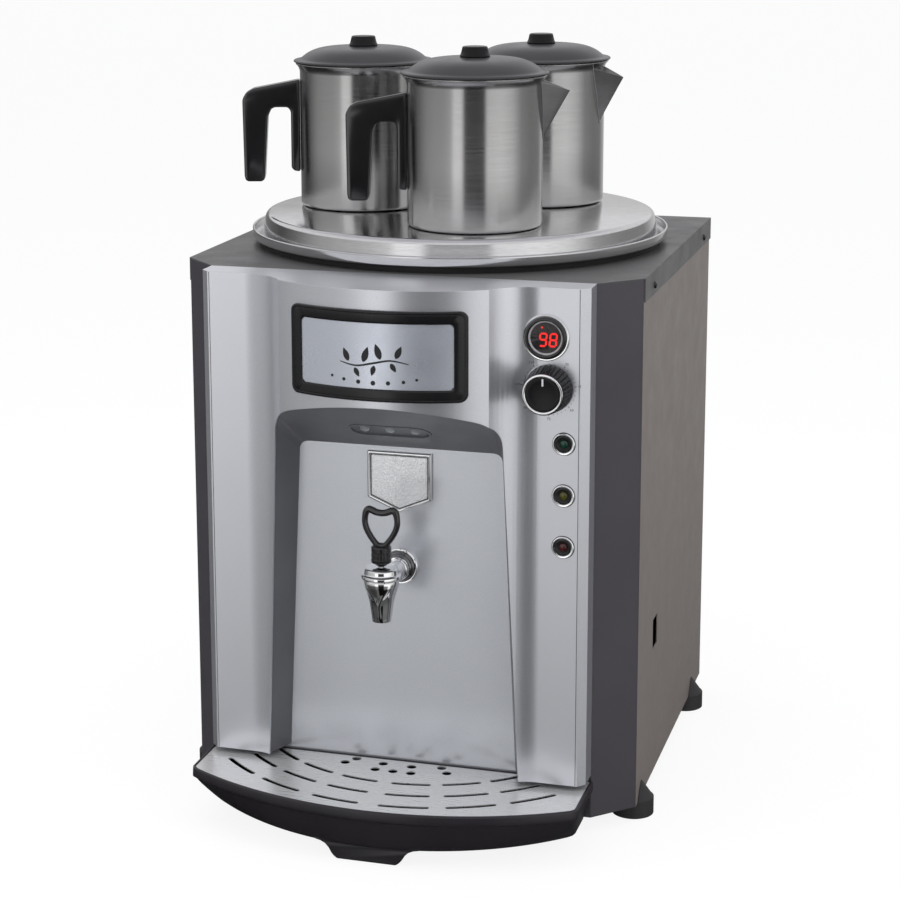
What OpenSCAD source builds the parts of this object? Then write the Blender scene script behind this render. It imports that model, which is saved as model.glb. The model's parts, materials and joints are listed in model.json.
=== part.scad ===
// Counter-top hot water urn with three teapots standing on its warming plate.
// Millimetres. The floor is z = 0. Inside the modules y = 0 is the front plane of the cabinet,
// and placed() moves everything so that the origin is the middle of the footprint.

/* [Cabinet] */
// Room between the tank and the cabinet's side
side_room = 42; // [36:1:60]
// Room between the cabinet's front plane and the tank
front_room = 32; // [30:1:50]
// Room between the tank and the cabinet's back
rear_room = 24; // [20:1:50]
// Height of the cabinet's top above the floor
cab_top = 522; // [518:1:560]
// Height of the cabinet's underside above the floor
base_z = 16; // [15.5:0.5:24]
// Thickness of the cabinet's sheet metal
sheet_t = 1.2; // [0.8:0.1:1.6]
// Height of the top cover's side flanges
lid_flange = 22; // [18:1:40]
// Width of the inward folds of the side panels
side_fold = 14; // [12:1:20]
// Height of the service opening in the right side panel
service_h = 30; // [20:1:40]
// Width of the service opening
service_w = 24; // [16:1:34]

/* [Feet] */
// Radius of a rubber foot
foot_r = 20; // [16:0.5:24]
// Distance of a foot's axis from the cabinet's side
foot_inset = 9; // [9:0.5:16]
// Height of the fin that stands up outside the side panel
foot_fin_z = 36; // [28:1:44]

/* [Fascia] */
// Width of the fascia
fascia_w = 366; // [352:2:380]
// Height of the fascia's lower edge above the floor
fascia_z = 58; // [57:0.5:70]
// Reach of the flat pilasters in front of the cabinet
pilaster_y = 30; // [28:1:40]
// Reach of the middle of the bulge in front of the cabinet
bulge_y = 82; // [70:1:90]
// Radius of the bulge in plan
bulge_r = 186; // [175:1:220]
// Width of a pilaster, from the fascia's end to the cove
pilaster_w = 43; // [41:1:50]
// Width of the cove between a pilaster and the bulge
cove_w = 42; // [34:1:48]
// Wall of the fascia moulding
fascia_wall = 3; // [2:0.5:4]

/* [Cup bay] */
// Distance of the bay's mouth from the fascia's end, at its foot
bay_foot_in = 61.5; // [57:0.5:70]
// Distance of the bay's mouth from the fascia's end, at its shoulder
bay_top_in = 76; // [73:0.5:82]
// Height of the middle of the bay's arch
bay_arch_z = 415; // [405:1:418]
// Radius of the bay's arch
bay_arch_r = 320; // [260:10:500]
// Height of the bay's ceiling at its back
bay_back_z = 360; // [350:1:375]
// How much narrower the bay is at its back, each side
bay_splay = 10.5; // [6:0.5:14]
// Wall of the bay's liner
liner_t = 1.5; // [1:0.1:2.5]
// Thickness of the steel plate behind the bay
bay_plate_t = 1; // [0.8:0.1:1.5]

/* [Sign] */
// Distance of the sign's frame from the end of the bulge
sign_in = 16; // [10:1:30]
// Height of the sign's frame
sign_h = 82; // [70:1:84]
// Height of the middle of the sign
sign_z = 463; // [461:1:468]
// Width of the frame's border
sign_border = 8.5; // [6:0.5:12]
// Thickness of the sign's frame
sign_t = 3; // [2:0.5:4]

/* [Controls] */
// Distance of the thermometer's axis from the fascia's end
gauge_in = 39; // [34:1:40]
// Height of the thermometer
gauge_z = 477; // [474:1:485]
// Radius of the thermometer's bezel
gauge_r = 20.5; // [18:0.5:21]
// Height of the temperature knob
knob_z = 431; // [429:1:434]
// Radius of the knob's skirt
knob_r = 21.8; // [20:0.2:23]
// Radius of the knob's face
knob_face_r = 18.4; // [16:0.2:19.4]
// Length of the knob
knob_len = 26; // [22:1:32]
// Number of flutes on the knob's skirt
knob_flutes = 30; // [18:1:36]
// Distance of the pilot lamps from the fascia's end
lamp_in = 22; // [20:0.5:26]
// Height of the highest pilot lamp
lamp_z = 381; // [379:0.5:395]
// Distance between two pilot lamps
lamp_pitch = 47.8; // [40:0.2:52]
// Radius of a pilot lamp's bezel
lamp_r = 10; // [9:0.5:12]

/* [Tap] */
// Height of the tap's shank
tap_z = 246; // [240:1:260]
// Reach of the tap's barrel in front of the cabinet
tap_y = 62; // [55:1:70]
// Radius of the tap's shank
shank_r = 8; // [7:0.5:9]
// Radius of the tap's rosette
rosette_r = 17.5; // [14:0.5:20]
// Radius of the tap's barrel
barrel_r = 16; // [13:0.5:17]
// Radius of the tap's spout at its tip
spout_r = 9; // [7.5:0.5:9.5]
// Length of the spout below the shank
spout_len = 34; // [30:1:40]
// Radius of the tap's stem
stem_r = 2.4; // [2:0.1:2.6]
// Rise of the stem when the tap is open
stem_rise = 4; // [3:0.5:4]
// Height of the lever's loop above its collar
loop_h = 37; // [30:1:46]
// Greatest width of the lever's loop
loop_w = 36; // [30:1:42]
// Thickness of the lever's loop
loop_t = 7; // [5:0.5:9]

/* [Drip tray] */
// How much wider than the fascia the tray is, each side
tray_over = 3; // [0:0.5:4]
// Reach of the tray in front of the cabinet
tray_reach = 127; // [118:1:150]
// Radius of the tray's front
tray_r = 350; // [280:5:400]
// Height of the tray's rim above the floor
tray_top = 54; // [48:1:56]
// Height of the tray's rim band
tray_band = 9.4; // [7:0.2:12]
// Wall of the tray
tray_wall = 2.5; // [2:0.5:3]
// Thickness of the tray's grate
grate_t = 1.2; // [0.8:0.1:1.6]
// Half the width of the tray's front leg at the floor
leg_half = 28; // [20:1:36]
// Radius of the drain holes under the tap
drain_r = 4.5; // [3:0.5:5.5]
// Width of the drain slots
slot_w = 5; // [3:0.5:6]

/* [Tank] */
// Outer radius of the tank
tank_r = 178; // [170:1:180]
// Height of the tank's bottom above the floor
tank_z = 222; // [214:1:224]
// Thickness of the tank's steel
tank_t = 1.2; // [1:0.1:2]
// Thickness of the tank's insulation
wool_t = 18; // [10:1:20]
// Radius of the heating loop
heater_r = 80; // [60:1:110]
// Radius of the heating tube
heater_tube_r = 4; // [3:0.5:6]

/* [Warming plate] */
// How much wider than the tank the plate's raised disc is, each side
disc_over = 15; // [8:1:16]
// Width of the plate's gutter and lip round the disc
gutter_w = 13; // [11:1:17]
// Height of the plate's top above the cabinet
plate_h = 30; // [26:1:40]
// Thickness of the plate
plate_t = 1.5; // [1:0.1:2.5]

/* [Teapots] */
// Radius of a teapot
pot_r = 64; // [56:1:66]
// Height of a teapot without its lid
pot_h = 143; // [120:1:180]
// Thickness of a teapot's wall
pot_t = 1; // [0.8:0.1:2]
// Distance of a teapot's axis from the middle of the plate
pot_ring = 104; // [100:1:110]
// Reach of a teapot's handle from its body
handle_reach = 58; // [48:1:60]
// Width of a teapot's handle
handle_w = 17; // [12:1:20]
// Reach of a teapot's spout from its body
spout_reach = 27; // [20:1:34]
// Height of the lid's dome
dome_h = 13; // [10:1:24]
// Height of the lid's knob
lid_knob_h = 10; // [8:1:20]

/* [Fits] */
// Gap between sheets that lie against each other
fit = 0.1; // [0.05:0.05:0.2]
// Gap between pieces that come apart
play = 0.3; // [0.3:0.05:0.5]
// Radial clearance of a turning or sliding shaft
running = 0.05; // [0.02:0.01:0.1]

/* [Hidden] */
$fn = 64;

// Cabinet's plan, round the tank and behind the fascia
fascia_half = fascia_w / 2;
half_w = tank_r + side_room;
cab_w = 2 * half_w;
tank_y = front_room + tank_r;
cab_d = tank_y + tank_r + rear_room;
front_half = fascia_half;
corner_cut = half_w - front_half;

// Sheet metal
panel_x = half_w - sheet_t - fit;
inner_x = panel_x - sheet_t - fit;
pan_half = inner_x - sheet_t - fit;
panel_front_y = panel_x - front_half;
rear_y = cab_d - sheet_t - fit;
under_lid = cab_top - sheet_t;
pan_z = base_z + sheet_t;
pan_top = pan_z + sheet_t;
return_len = 25;
bevel = sheet_t * (sqrt(2) - 1);

// Rear of the machine
gland_out = 20;
gland_r = 11;
gland_bore = 5;
gland_x = 70 - half_w;
gland_z = 60;
mid_y = (rear_y + gland_out - tray_reach) / 2;
vent_w = 60;
vent_h = 4;
vent_pitch = 12;
vent_rows = 9;
vent_x = 70;
vent_z = 70;

// Small screws
screw_r = 2;
screw_head_r = 3.3;
screw_head_h = 2.2;
screw_len = 9;
lid_screw_y = [corner_cut + 46, cab_d - 46];
lid_screw_z = cab_top - 14;
rear_screw_x = inner_x - side_fold / 2;
rear_screw_z = [base_z + 60, cab_top - 60];
boss_r = 5;
boss_x = fascia_half - 33;
boss_z = [fascia_z + 32, cab_top - 12];

// Feet
foot_x = half_w - foot_inset;
foot_y = [corner_cut + 26, cab_d - 59];
foot_wall_z = 15;
foot_top_r = 5.2;
foot_screw_r = 2.5;
foot_head_r = 4.5;
foot_head_h = 3.2;
foot_pocket_z = 8;
nut_r = 4.6;
nut_h = 4;

// Fascia plan, one y for every x
bulge_half = fascia_half - pilaster_w - cove_w;
cove_half = fascia_half - pilaster_w;
edge_x = 7;
edge_y = 7;
cove_dx = cove_half - bulge_half;
crease_y = -bulge_y + bulge_r - sqrt(bulge_r * bulge_r - bulge_half * bulge_half);
cove_dy = -pilaster_y - crease_y;
cove_r = (cove_dx * cove_dx + cove_dy * cove_dy) / (2 * cove_dy);
arc_steps = 24;

function bulge_at(x) = -bulge_y + bulge_r - sqrt(bulge_r * bulge_r - x * x);
function cove_at(x) =
    -pilaster_y - cove_r + sqrt(cove_r * cove_r - (cove_half - x) * (cove_half - x));
function front_at(x) = let (a = abs(x))
    a <= bulge_half ? bulge_at(a) :
    a <= cove_half ? cove_at(a) :
    a <= fascia_half - edge_x ? -pilaster_y :
    -pilaster_y + (a - fascia_half + edge_x) * edge_y / edge_x;
function right_stations() = concat(
    [for (i = [0 : arc_steps]) bulge_half * i / arc_steps],
    [for (i = [1 : arc_steps / 2]) bulge_half + cove_dx * 2 * i / arc_steps],
    [fascia_half - edge_x]);
function mirrored(list) = concat([for (i = [len(list) - 1 : -1 : 1]) -list[i]], list);

// Cup bay: one outline at the mouth and one at the back
bay_foot_half = fascia_half - bay_foot_in;
bay_top_half = fascia_half - bay_top_in;
bay_corner = 20;
bay_corner_steps = 8;
bay_side_steps = 8;
bay_arch_steps = 10;
bay_shoulder_z = bay_arch_z - bay_arch_r + sqrt(bay_arch_r * bay_arch_r - bay_top_half * bay_top_half);
bay_lean = (bay_foot_half - bay_top_half) / (bay_shoulder_z - fascia_z);
bay_back_corner = 10;
bay_foot_z = 50;
bay_back_y = -bay_plate_t - fit;

function arch_at(x) = bay_arch_z - bay_arch_r + sqrt(bay_arch_r * bay_arch_r - x * x);
function mouth_x(z) = bay_foot_half - (z - fascia_z) * bay_lean;
function bezier(a, b, c, t) = a * (1 - t) * (1 - t) + b * 2 * t * (1 - t) + c * t * t;
function mouth_right(foot) = let (
        shoulder = [mouth_x(bay_shoulder_z), bay_shoulder_z],
        low = [mouth_x(bay_shoulder_z - bay_corner), bay_shoulder_z - bay_corner],
        high = [shoulder[0] - bay_corner, arch_at(shoulder[0] - bay_corner)])
    concat(
        [for (i = [0 : bay_side_steps - 1]) let (z = foot + (low[1] - foot) * i / bay_side_steps)
            [mouth_x(z), z]],
        [for (i = [0 : bay_corner_steps]) bezier(low, shoulder, high, i / bay_corner_steps)],
        [for (i = [1 : bay_arch_steps]) let (x = high[0] * (1 - i / bay_arch_steps)) [x, arch_at(x)]]);
function back_right() = let (
        foot_x = mouth_x(fascia_z) - bay_splay,
        top_x = mouth_x(bay_back_z) - bay_splay,
        low = [top_x, bay_back_z - bay_back_corner],
        shoulder = [top_x, bay_back_z],
        high = [top_x - bay_back_corner, bay_back_z])
    concat(
        [for (i = [0 : bay_side_steps - 1])
            [foot_x, fascia_z] + (low - [foot_x, fascia_z]) * i / bay_side_steps],
        [for (i = [0 : bay_corner_steps]) bezier(low, shoulder, high, i / bay_corner_steps)],
        [for (i = [1 : bay_arch_steps]) [high[0] * (1 - i / bay_arch_steps), bay_back_z]]);
function both_sides(right) = concat(right, [for (i = [len(right) - 2 : -1 : 0]) [-right[i][0], right[i][1]]]);
function unit(v) = v / norm(v);
function out_normal(list, i) = let (
        a = list[max(i - 1, 0)],
        b = list[min(i + 1, len(list) - 1)],
        d = unit(b - a))
    [d[1], -d[0]];
function grown(list, by) = [for (i = [0 : len(list) - 1]) list[i] + by * out_normal(list, i)];

// Lamps in the bay's ceiling
led_x = 24;
led_r = 5;
led_half = 39;
led_end_r = 13;
led_y = -33;
led_slope = atan((bay_arch_z - bay_back_z) / (bulge_y - fascia_wall + bay_back_y));
led_z = bay_back_z + (bay_back_y - led_y) * tan(led_slope);
led_deep = 7;

// Sign
sign_w = 2 * (bulge_half - sign_in);

// Controls
gauge_x = fascia_half - gauge_in;
lamp_x = fascia_half - lamp_in;
pilaster_in = -pilaster_y + fascia_wall;
gauge_hole_r = gauge_r - 2.7;
gauge_bore_r = gauge_r - 5;
gauge_flange = 5;
gauge_deep = 10;
lens_t = 1.5;
knob_x = gauge_x + 3;
knob_back_y = -pilaster_y - 1;
knob_front_y = knob_back_y - knob_len;
knob_seat = 1.7;
spindle_r = 3;
spindle_in_knob = 15;
bushing_r = 5;
thermo_w = 38;
thermo_d = 22;
lamp_hole_r = lamp_r - 2.5;
lamp_bore_r = lamp_r - 3.5;
lamp_flange = 3;
lamp_deep = 22;
capillary_r = 1.2;
bulb_r = 3;
bulb_len = 80;
well_x = 70;
well_y = tank_y - 80;
well_r = 5;

// Badge
badge_half = 31;
badge_top = 356;
badge_side = 311;
badge_tip = 298;
badge_t = 4.5;
badge_edge = 2.5;
badge_pin_r = 1.5;
badge_pin_z = 332;
badge_pin_x = 18;

// Tap
neck_r = 11;
rosette_t = 8;
rosette_step_r = 13;
tap_seat_z = tap_z - 6;
outlet_r = 5;
chamber_r = 9;
body_top = tap_z + 6;
bonnet_ring_r = 18.6;
bonnet_ring_h = 5;
bonnet_r = 15.6;
bonnet_top = body_top + 11;
bonnet_wall = 2;
spigot_len = 5;
collar_r = 9.2;
collar_low = 4;
pivot_r = 8.3;
pivot_z = bonnet_top + pivot_r + play;
collar_top = pivot_z + 11.4;
loop_base = collar_top + 1;
lever_slot = 7.5;
pin_r = 1;
pin_len = 15;
stem_top = pivot_z + 3;
cup_r = chamber_r - 2.2;
cup_top = tap_seat_z + 7;
stem_foot = tap_seat_z + 3;
washer_r = 6.5;
washer_t = 1.5;
spring_wire = 0.5;
spring_r = 5;
spring_turns = 5;
spring_low = cup_top + washer_t + spring_wire + fit;
spring_high = bonnet_top - bonnet_wall - spring_wire - fit;
gasket_t = 2;
gasket_r = 13.5;
tap_nut_h = 6;
tap_nut_r = 15;
socket_r = 13;
socket_y = sheet_t + gasket_t + tap_nut_h + 2;
shank_end = socket_y + 14;

// Tank
tank_in_r = tank_r - tank_t;
lid_hole_r = tank_r + 2;
tank_flange_r = tank_r + 14;
tank_top = cab_top + tank_t;
well_top = tank_z + bulb_len + 12;
heater_hole_r = 20;
heater_flange_r = 32;
heater_flange_t = 4;
heater_z = tank_z + 28;
heater_leg_x = 12;
heater_pin_r = 2;
heater_pin_len = 14;
block_poles = 5;
block_pitch = 15;
block_w = 26;
block_h = 20;

// Plate
disc_r = tank_r + disc_over;
plate_r = disc_r + gutter_w;
plate_top = cab_top + plate_h;
gutter_z = cab_top + 7.5;
lip_top = gutter_z + 8.5;
foot_of_disc = disc_r + 3;
seal_r = plate_r - 7;
seal_top = gutter_z - plate_t - play;
ring_r = tank_in_r - 1;
ring_low = cab_top - 14;

// Teapots: centre, direction of the handle
pot_z = plate_top + play;
pot_rim = pot_z + pot_h;
front_pot_angle = -67;
left_pot_angle = 173;
right_pot_angle = 53;
front_pot_turn = 12;
left_pot_turn = 15;
right_pot_turn = -10;
rim_flare = 4;
lid_lip = 2.5;
lid_z = pot_rim + play;
lid_skirt = 9;
lid_t = 1;
dome_power = 5;
handle_gap_in = 9;
handle_gap_out = 33;
strainer_r = 2.2;

// ---------- helpers ----------

// Moves the origin from the cabinet's front plane to the middle of the footprint
module placed() translate([0, -mid_y, 0]) children();

module both() {
    children();
    mirror([1, 0, 0]) children();
}

// Cylinder that starts at y and runs back by len
module rod_y(x, y, z, r, len) translate([x, y, z]) rotate([-90, 0, 0]) cylinder(r = r, h = len);

// Cone that starts at y with r0 and ends len further back with r1
module cone_y(x, y, z, r0, r1, len)
    translate([x, y, z]) rotate([-90, 0, 0]) cylinder(r1 = r0, r2 = r1, h = len);

// Drawing in x and z, extruded from y to y + len
module slab_y(y, len) translate([0, y + len, 0]) rotate([90, 0, 0]) linear_extrude(len) children();

// Cabinet outline in plan, inset at the sides, at the front and at the back
function cab_plan(side_in, front_in, back_in) = let (
        s = half_w - side_in,
        f = front_half - front_in * (sqrt(2) - 1),
        y = s - front_half + front_in * sqrt(2))
    [[-s, cab_d - back_in], [-s, y], [-f, front_in], [f, front_in], [s, y], [s, cab_d - back_in]];

module rounded(w, h, r) {
    for (x = [-1, 1], y = [-1, 1])
        translate([x * (w / 2 - r), y * (h / 2 - r)]) circle(r);
    square([w, h - 2 * r], center = true);
    square([w - 2 * r, h], center = true);
}

// Screw whose head lies at z = 0 and whose shank points down
module small_screw() {
    cylinder(r = screw_head_r, h = screw_head_h);
    translate([0, 0, -screw_len]) cylinder(r = screw_r, h = screw_len);
}

// Puts a child at each place of a small screw, head outwards
module at_lid_screws() both() for (y = lid_screw_y)
    translate([half_w, y, lid_screw_z]) rotate([0, 90, 0]) children();
module at_rear_screws() both() for (z = rear_screw_z)
    translate([rear_screw_x, rear_y, z]) rotate([-90, 0, 0]) children();
module at_boss_screws() both() for (z = boss_z)
    translate([boss_x, sheet_t, z]) rotate([-90, 0, 0]) children();

module screw_hole(r) translate([0, 0, -2 * screw_len]) cylinder(r = r, h = 4 * screw_len);

// ---------- cabinet ----------

module base_pan() {
    color("dimgray") placed() {
        difference() {
            translate([0, 0, pan_z])
                linear_extrude(sheet_t)
                    polygon(cab_plan(half_w - pan_half, sheet_t + fit, cab_d - rear_y + 2 * sheet_t + 2 * fit));
            both() for (y = foot_y)
                translate([foot_x, y, 0]) cylinder(r = foot_screw_r + play, h = 2 * pan_top);
            for (x = [-3 : 3])
                translate([x * 30 - vent_h, tank_y - vent_w / 2, 0]) cube([2 * vent_h, vent_w, 2 * pan_top]);
        }
        translate([-front_half + sheet_t, sheet_t + fit, pan_top]) cube([2 * front_half - 2 * sheet_t, sheet_t, 8]);
        translate([-inner_x + side_fold + fit, rear_y - 2 * sheet_t - 2 * fit, pan_top])
            translate([0, -sheet_t, 0]) cube([2 * (inner_x - side_fold - fit), sheet_t, 16]);
    }
}

// Side panel on the right; the opening is only there
module side_sheet(opening) {
    difference() {
        union() {
            translate([panel_x - sheet_t, panel_front_y + fit, base_z])
                cube([sheet_t, rear_y - panel_front_y - fit, under_lid - base_z]);
            translate([panel_x - side_fold, panel_front_y + return_len + 2 * fit, base_z])
                cube([side_fold, rear_y - sheet_t - panel_front_y - return_len - 3 * fit, sheet_t]);
            translate([inner_x + fit - side_fold, rear_y - 2 * sheet_t - fit, pan_top + fit])
                cube([side_fold, sheet_t, under_lid - pan_top - fit]);
        }
        at_lid_screws() screw_hole(screw_r + running);
        at_rear_screws() screw_hole(screw_r + running);
        both() for (y = foot_y)
            translate([foot_x, y, 0]) cylinder(r = foot_screw_r + play, h = 2 * pan_top);
        if (opening)
            translate([half_w - 10, 113, 145]) cube([20, service_w, service_h]);
    }
}

module side_panel_left() {
    color("#84807a") placed() mirror([1, 0, 0]) side_sheet(false);
}

module side_panel_right() {
    color("#84807a") placed() side_sheet(true);
}

module rear_panel() {
    color("#84807a") placed() difference() {
        translate([-inner_x, rear_y - sheet_t, base_z])
            cube([2 * inner_x, sheet_t, under_lid - base_z]);
        at_rear_screws() screw_hole(screw_r + running);
        rod_y(gland_x, rear_y - 10, gland_z, gland_r - 3 + running, 20);
        both() for (i = [0 : vent_rows - 1])
            translate([vent_x - vent_w / 2, rear_y - 10, vent_z + i * vent_pitch]) cube([vent_w, 20, vent_h]);
    }
}

function front_half_strip() = [
    [front_half, 0],
    [panel_x, panel_front_y],
    [inner_x, panel_front_y],
    [inner_x, panel_front_y + return_len],
    [inner_x - sheet_t, panel_front_y + return_len],
    [inner_x - sheet_t, inner_x - sheet_t - front_half + sheet_t * sqrt(2)],
    [front_half - bevel, sheet_t]
];

module front_panel() {
    color("#4e4c50") placed() difference() {
        translate([0, 0, base_z]) linear_extrude(under_lid - base_z)
            polygon(concat(front_half_strip(),
                [for (i = [6 : -1 : 0]) [-front_half_strip()[i][0], front_half_strip()[i][1]]]));
        rod_y(0, -10, tap_z, shank_r + play, 20);
        translate([gauge_x - 18, -10, lamp_z - 2 * lamp_pitch - 10])
            cube([46, 20, gauge_z - lamp_z + 2 * lamp_pitch + 26]);
        at_boss_screws() screw_hole(screw_r + running);
        both() rod_y(badge_pin_x, -10, badge_pin_z, badge_pin_r + running, 20);
        both() translate([tongue_x - tongue_w / 2 - play, -10, tongue_z - play])
            cube([tongue_w + 2 * play, 20, tongue_h + 2 * play]);
    }
}

module bay_back_plate() {
    color("silver") placed() difference() {
        translate([-bay_foot_half + 2, -bay_plate_t, bay_foot_z])
            cube([2 * bay_foot_half - 4, bay_plate_t, bay_back_z + 6 - bay_foot_z]);
        rod_y(0, -10, tap_z, shank_r + play, 20);
        both() rod_y(badge_pin_x, -10, badge_pin_z, badge_pin_r + running, 20);
    }
}

module top_cover() {
    color("#5a5a5b") placed() difference() {
        union() {
            translate([0, 0, under_lid]) linear_extrude(sheet_t) polygon(cab_plan(0, 0, 0));
            both() translate([half_w - sheet_t, corner_cut, cab_top - lid_flange])
                cube([sheet_t, cab_d - corner_cut, lid_flange]);
            translate([-half_w, cab_d - sheet_t, cab_top - lid_flange])
                cube([cab_w, sheet_t, lid_flange]);
        }
        translate([0, tank_y, 0]) cylinder(r = lid_hole_r, h = 2 * cab_top, $fn = 180);
        at_lid_screws() screw_hole(screw_r + running);
    }
}

module panel_screws() {
    color("#222222") placed() {
        at_lid_screws() small_screw();
        at_rear_screws() small_screw();
        at_boss_screws() small_screw();
    }
}

// ---------- feet ----------

module foot_solid() {
    difference() {
        union() {
            cylinder(r = foot_r, h = base_z - fit);
            intersection() {
                union() {
                    cylinder(r = foot_r, h = foot_wall_z);
                    translate([0, 0, foot_wall_z])
                        cylinder(r1 = foot_r, r2 = foot_top_r, h = foot_fin_z - foot_wall_z);
                }
                translate([panel_x + play - foot_x, -foot_r, 0]) cube([foot_r, 2 * foot_r, foot_fin_z]);
            }
        }
        translate([0, 0, -1]) cylinder(r = foot_head_r + play, h = foot_pocket_z + 1);
        cylinder(r = foot_screw_r + running, h = 2 * base_z);
    }
}

module feet() {
    color("#3a383b") placed() both() for (y = foot_y)
        translate([foot_x, y, 0]) foot_solid();
}

module foot_screws() {
    color("gray") placed() both() for (y = foot_y) translate([foot_x, y, 0]) {
        translate([0, 0, foot_pocket_z - foot_head_h]) cylinder(r = foot_head_r, h = foot_head_h);
        translate([0, 0, foot_pocket_z]) cylinder(r = foot_screw_r, h = pan_top + nut_h + 1 - foot_pocket_z);
        translate([0, 0, pan_top]) difference() {
            cylinder(r = nut_r, h = nut_h, $fn = 6);
            cylinder(r = foot_screw_r + running, h = 3 * nut_h, center = true);
        }
    }
}

// ---------- fascia ----------

function fascia_front(shift) = [for (x = mirrored(right_stations())) [x, front_at(x) + shift]];
function fascia_plan() = concat(
    [[-fascia_half, -fit], [-fascia_half, -pilaster_y + edge_y]],
    fascia_front(0),
    [[fascia_half, -pilaster_y + edge_y], [fascia_half, -fit]]);
function fascia_hollow() = let (w = fascia_half - fascia_wall) concat(
    [[-w, 1], [-w, -pilaster_y + edge_y + fascia_wall / 2]],
    fascia_front(fascia_wall),
    [[w, -pilaster_y + edge_y + fascia_wall / 2], [w, 1]]);

module bay_mouth() polygon(both_sides(mouth_right(fascia_z - 20)));

module fascia() {
    color("#c4c8ce") placed() difference() {
        union() {
            difference() {
                translate([0, 0, fascia_z]) linear_extrude(cab_top - fascia_z) polygon(fascia_plan());
                translate([0, 0, fascia_z + fascia_wall])
                    linear_extrude(cab_top - fascia_z - 2 * fascia_wall) polygon(fascia_hollow());
            }
            both() for (z = boss_z)
                rod_y(boss_x, pilaster_in - 1, z, boss_r, pilaster_y - fascia_wall + 1 - fit);
        }
        slab_y(-2 * bulge_y, 2 * bulge_y + 1) bay_mouth();
        translate([0, 0, fascia_z - 1]) linear_extrude(fascia_wall + 2) intersection() {
            polygon(fascia_hollow());
            square([2 * (bay_foot_half + liner_t + play), 4 * bulge_y], center = true);
        }
        both() for (z = boss_z)
            rod_y(boss_x, pilaster_in + 6, z, screw_r + running, pilaster_y);
        rod_y(gauge_x, -2 * pilaster_y, gauge_z, gauge_r + fit, pilaster_y);
        rod_y(gauge_x, -2 * pilaster_y, gauge_z, gauge_hole_r + fit, 2 * pilaster_y);
        rod_y(knob_x, -2 * pilaster_y, knob_z, knob_r + 1, pilaster_y);
        rod_y(knob_x, -2 * pilaster_y, knob_z, bushing_r + fit, 2 * pilaster_y);
        for (i = [0 : 2])
            rod_y(lamp_x, -2 * pilaster_y, lamp_z - i * lamp_pitch, lamp_hole_r + fit, 2 * pilaster_y);
    }
}

// Ring of points at the bay's mouth, just behind the fascia's wall
function mouth_ring(list) = [for (p = list) [p[0], front_at(p[0]) + fascia_wall + fit, p[1]]];
function back_ring(list) = [for (p = list) [p[0], bay_back_y, p[1]]];

module liner_shell() {
    mouth = both_sides(mouth_right(fascia_z));
    back = both_sides(back_right());
    n = len(mouth);
    points = concat(mouth_ring(mouth), mouth_ring(grown(mouth, liner_t)),
        back_ring(grown(back, liner_t)), back_ring(back));
    strips = [for (k = [0 : 3], i = [0 : n - 2])
        let (a = k * n, b = ((k + 1) % 4) * n) [a + i, a + i + 1, b + i + 1, b + i]];
    ends = [[for (k = [0 : 3]) k * n], [for (k = [3 : -1 : 0]) k * n + n - 1]];
    polyhedron(points, concat(strips, ends), convexity = 6);
}

// Puts a child on the sloping ceiling of the bay, z along its normal
module on_ceiling() translate([0, led_y, led_z]) rotate([-led_slope, 0, 0]) children();

module led_oval(r) {
    for (x = [-1, 1]) translate([x * (led_half - led_end_r), 0]) circle(r);
    square([2 * (led_half - led_end_r), 2 * r], center = true);
}

module bay_liner() {
    color("#505054") placed() difference() {
        liner_shell();
        on_ceiling() translate([0, 0, -12]) linear_extrude(30) led_oval(led_end_r);
    }
}

module led_housing() {
    color("#6a6a6e") placed() on_ceiling() difference() {
        translate([0, 0, -0.5]) linear_extrude(led_deep) led_oval(led_end_r - fit);
        translate([0, 0, -1]) linear_extrude(2.5) led_oval(led_end_r - 2);
        for (x = [-led_x, 0, led_x])
            translate([x, 0, -2]) cylinder(r = led_r + fit, h = led_deep + 4);
    }
}

// Lamp of a dome, a body and a foot, its dome downwards
led_profile = [
    [0, -1], [1.6, -0.85], [3, -0.35], [led_r - 0.8, 0.5], [led_r, 1.6], [led_r, led_deep + 1],
    [led_r - 2, led_deep + 1], [led_r - 2, led_deep + 4], [0, led_deep + 4]
];

module led_lamps() {
    color("#8d8f94") placed() on_ceiling() for (x = [-led_x, 0, led_x]) translate([x, 0, 0])
        rotate_extrude() polygon(led_profile);
}

// ---------- sign ----------

// Part of the bulge's shell between two radii
module bulge_shell(gap, t) translate([0, bulge_r - bulge_y, 0]) difference() {
    cylinder(r = bulge_r + gap + t, h = 2 * cab_top, $fn = 240);
    cylinder(r = bulge_r + gap, h = 4 * cab_top, center = true, $fn = 240);
}

module sign_window(w, h, r) slab_y(-2 * bulge_y, 2 * bulge_y - 10) translate([0, sign_z]) rounded(w, h, r);

module sign_frame() {
    color("#2c2b2e") placed() difference() {
        intersection() {
            bulge_shell(fit, sign_t);
            sign_window(sign_w, sign_h, 7);
        }
        sign_window(sign_w - 2 * sign_border, sign_h - 2 * sign_border, 3);
    }
}

module sign_panel() {
    color("#b4bac4") placed() intersection() {
        bulge_shell(fit, sign_t / 2);
        sign_window(sign_w - 2 * sign_border - 2 * fit, sign_h - 2 * sign_border - 2 * fit, 3);
    }
}

// ---------- controls ----------

module gauge_bezel() {
    color("#3c3c3f") placed() difference() {
        union() {
            rod_y(gauge_x, -pilaster_y - gauge_flange, gauge_z, gauge_r, gauge_flange);
            rod_y(gauge_x, -pilaster_y - 1, gauge_z, gauge_hole_r, gauge_deep + 1);
        }
        rod_y(gauge_x, -2 * pilaster_y, gauge_z, gauge_bore_r, 2 * pilaster_y);
    }
}

module gauge_lens() {
    color("#30100f") placed()
        rod_y(gauge_x, -pilaster_y - 3, gauge_z, gauge_bore_r - fit, lens_t);
}

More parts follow.
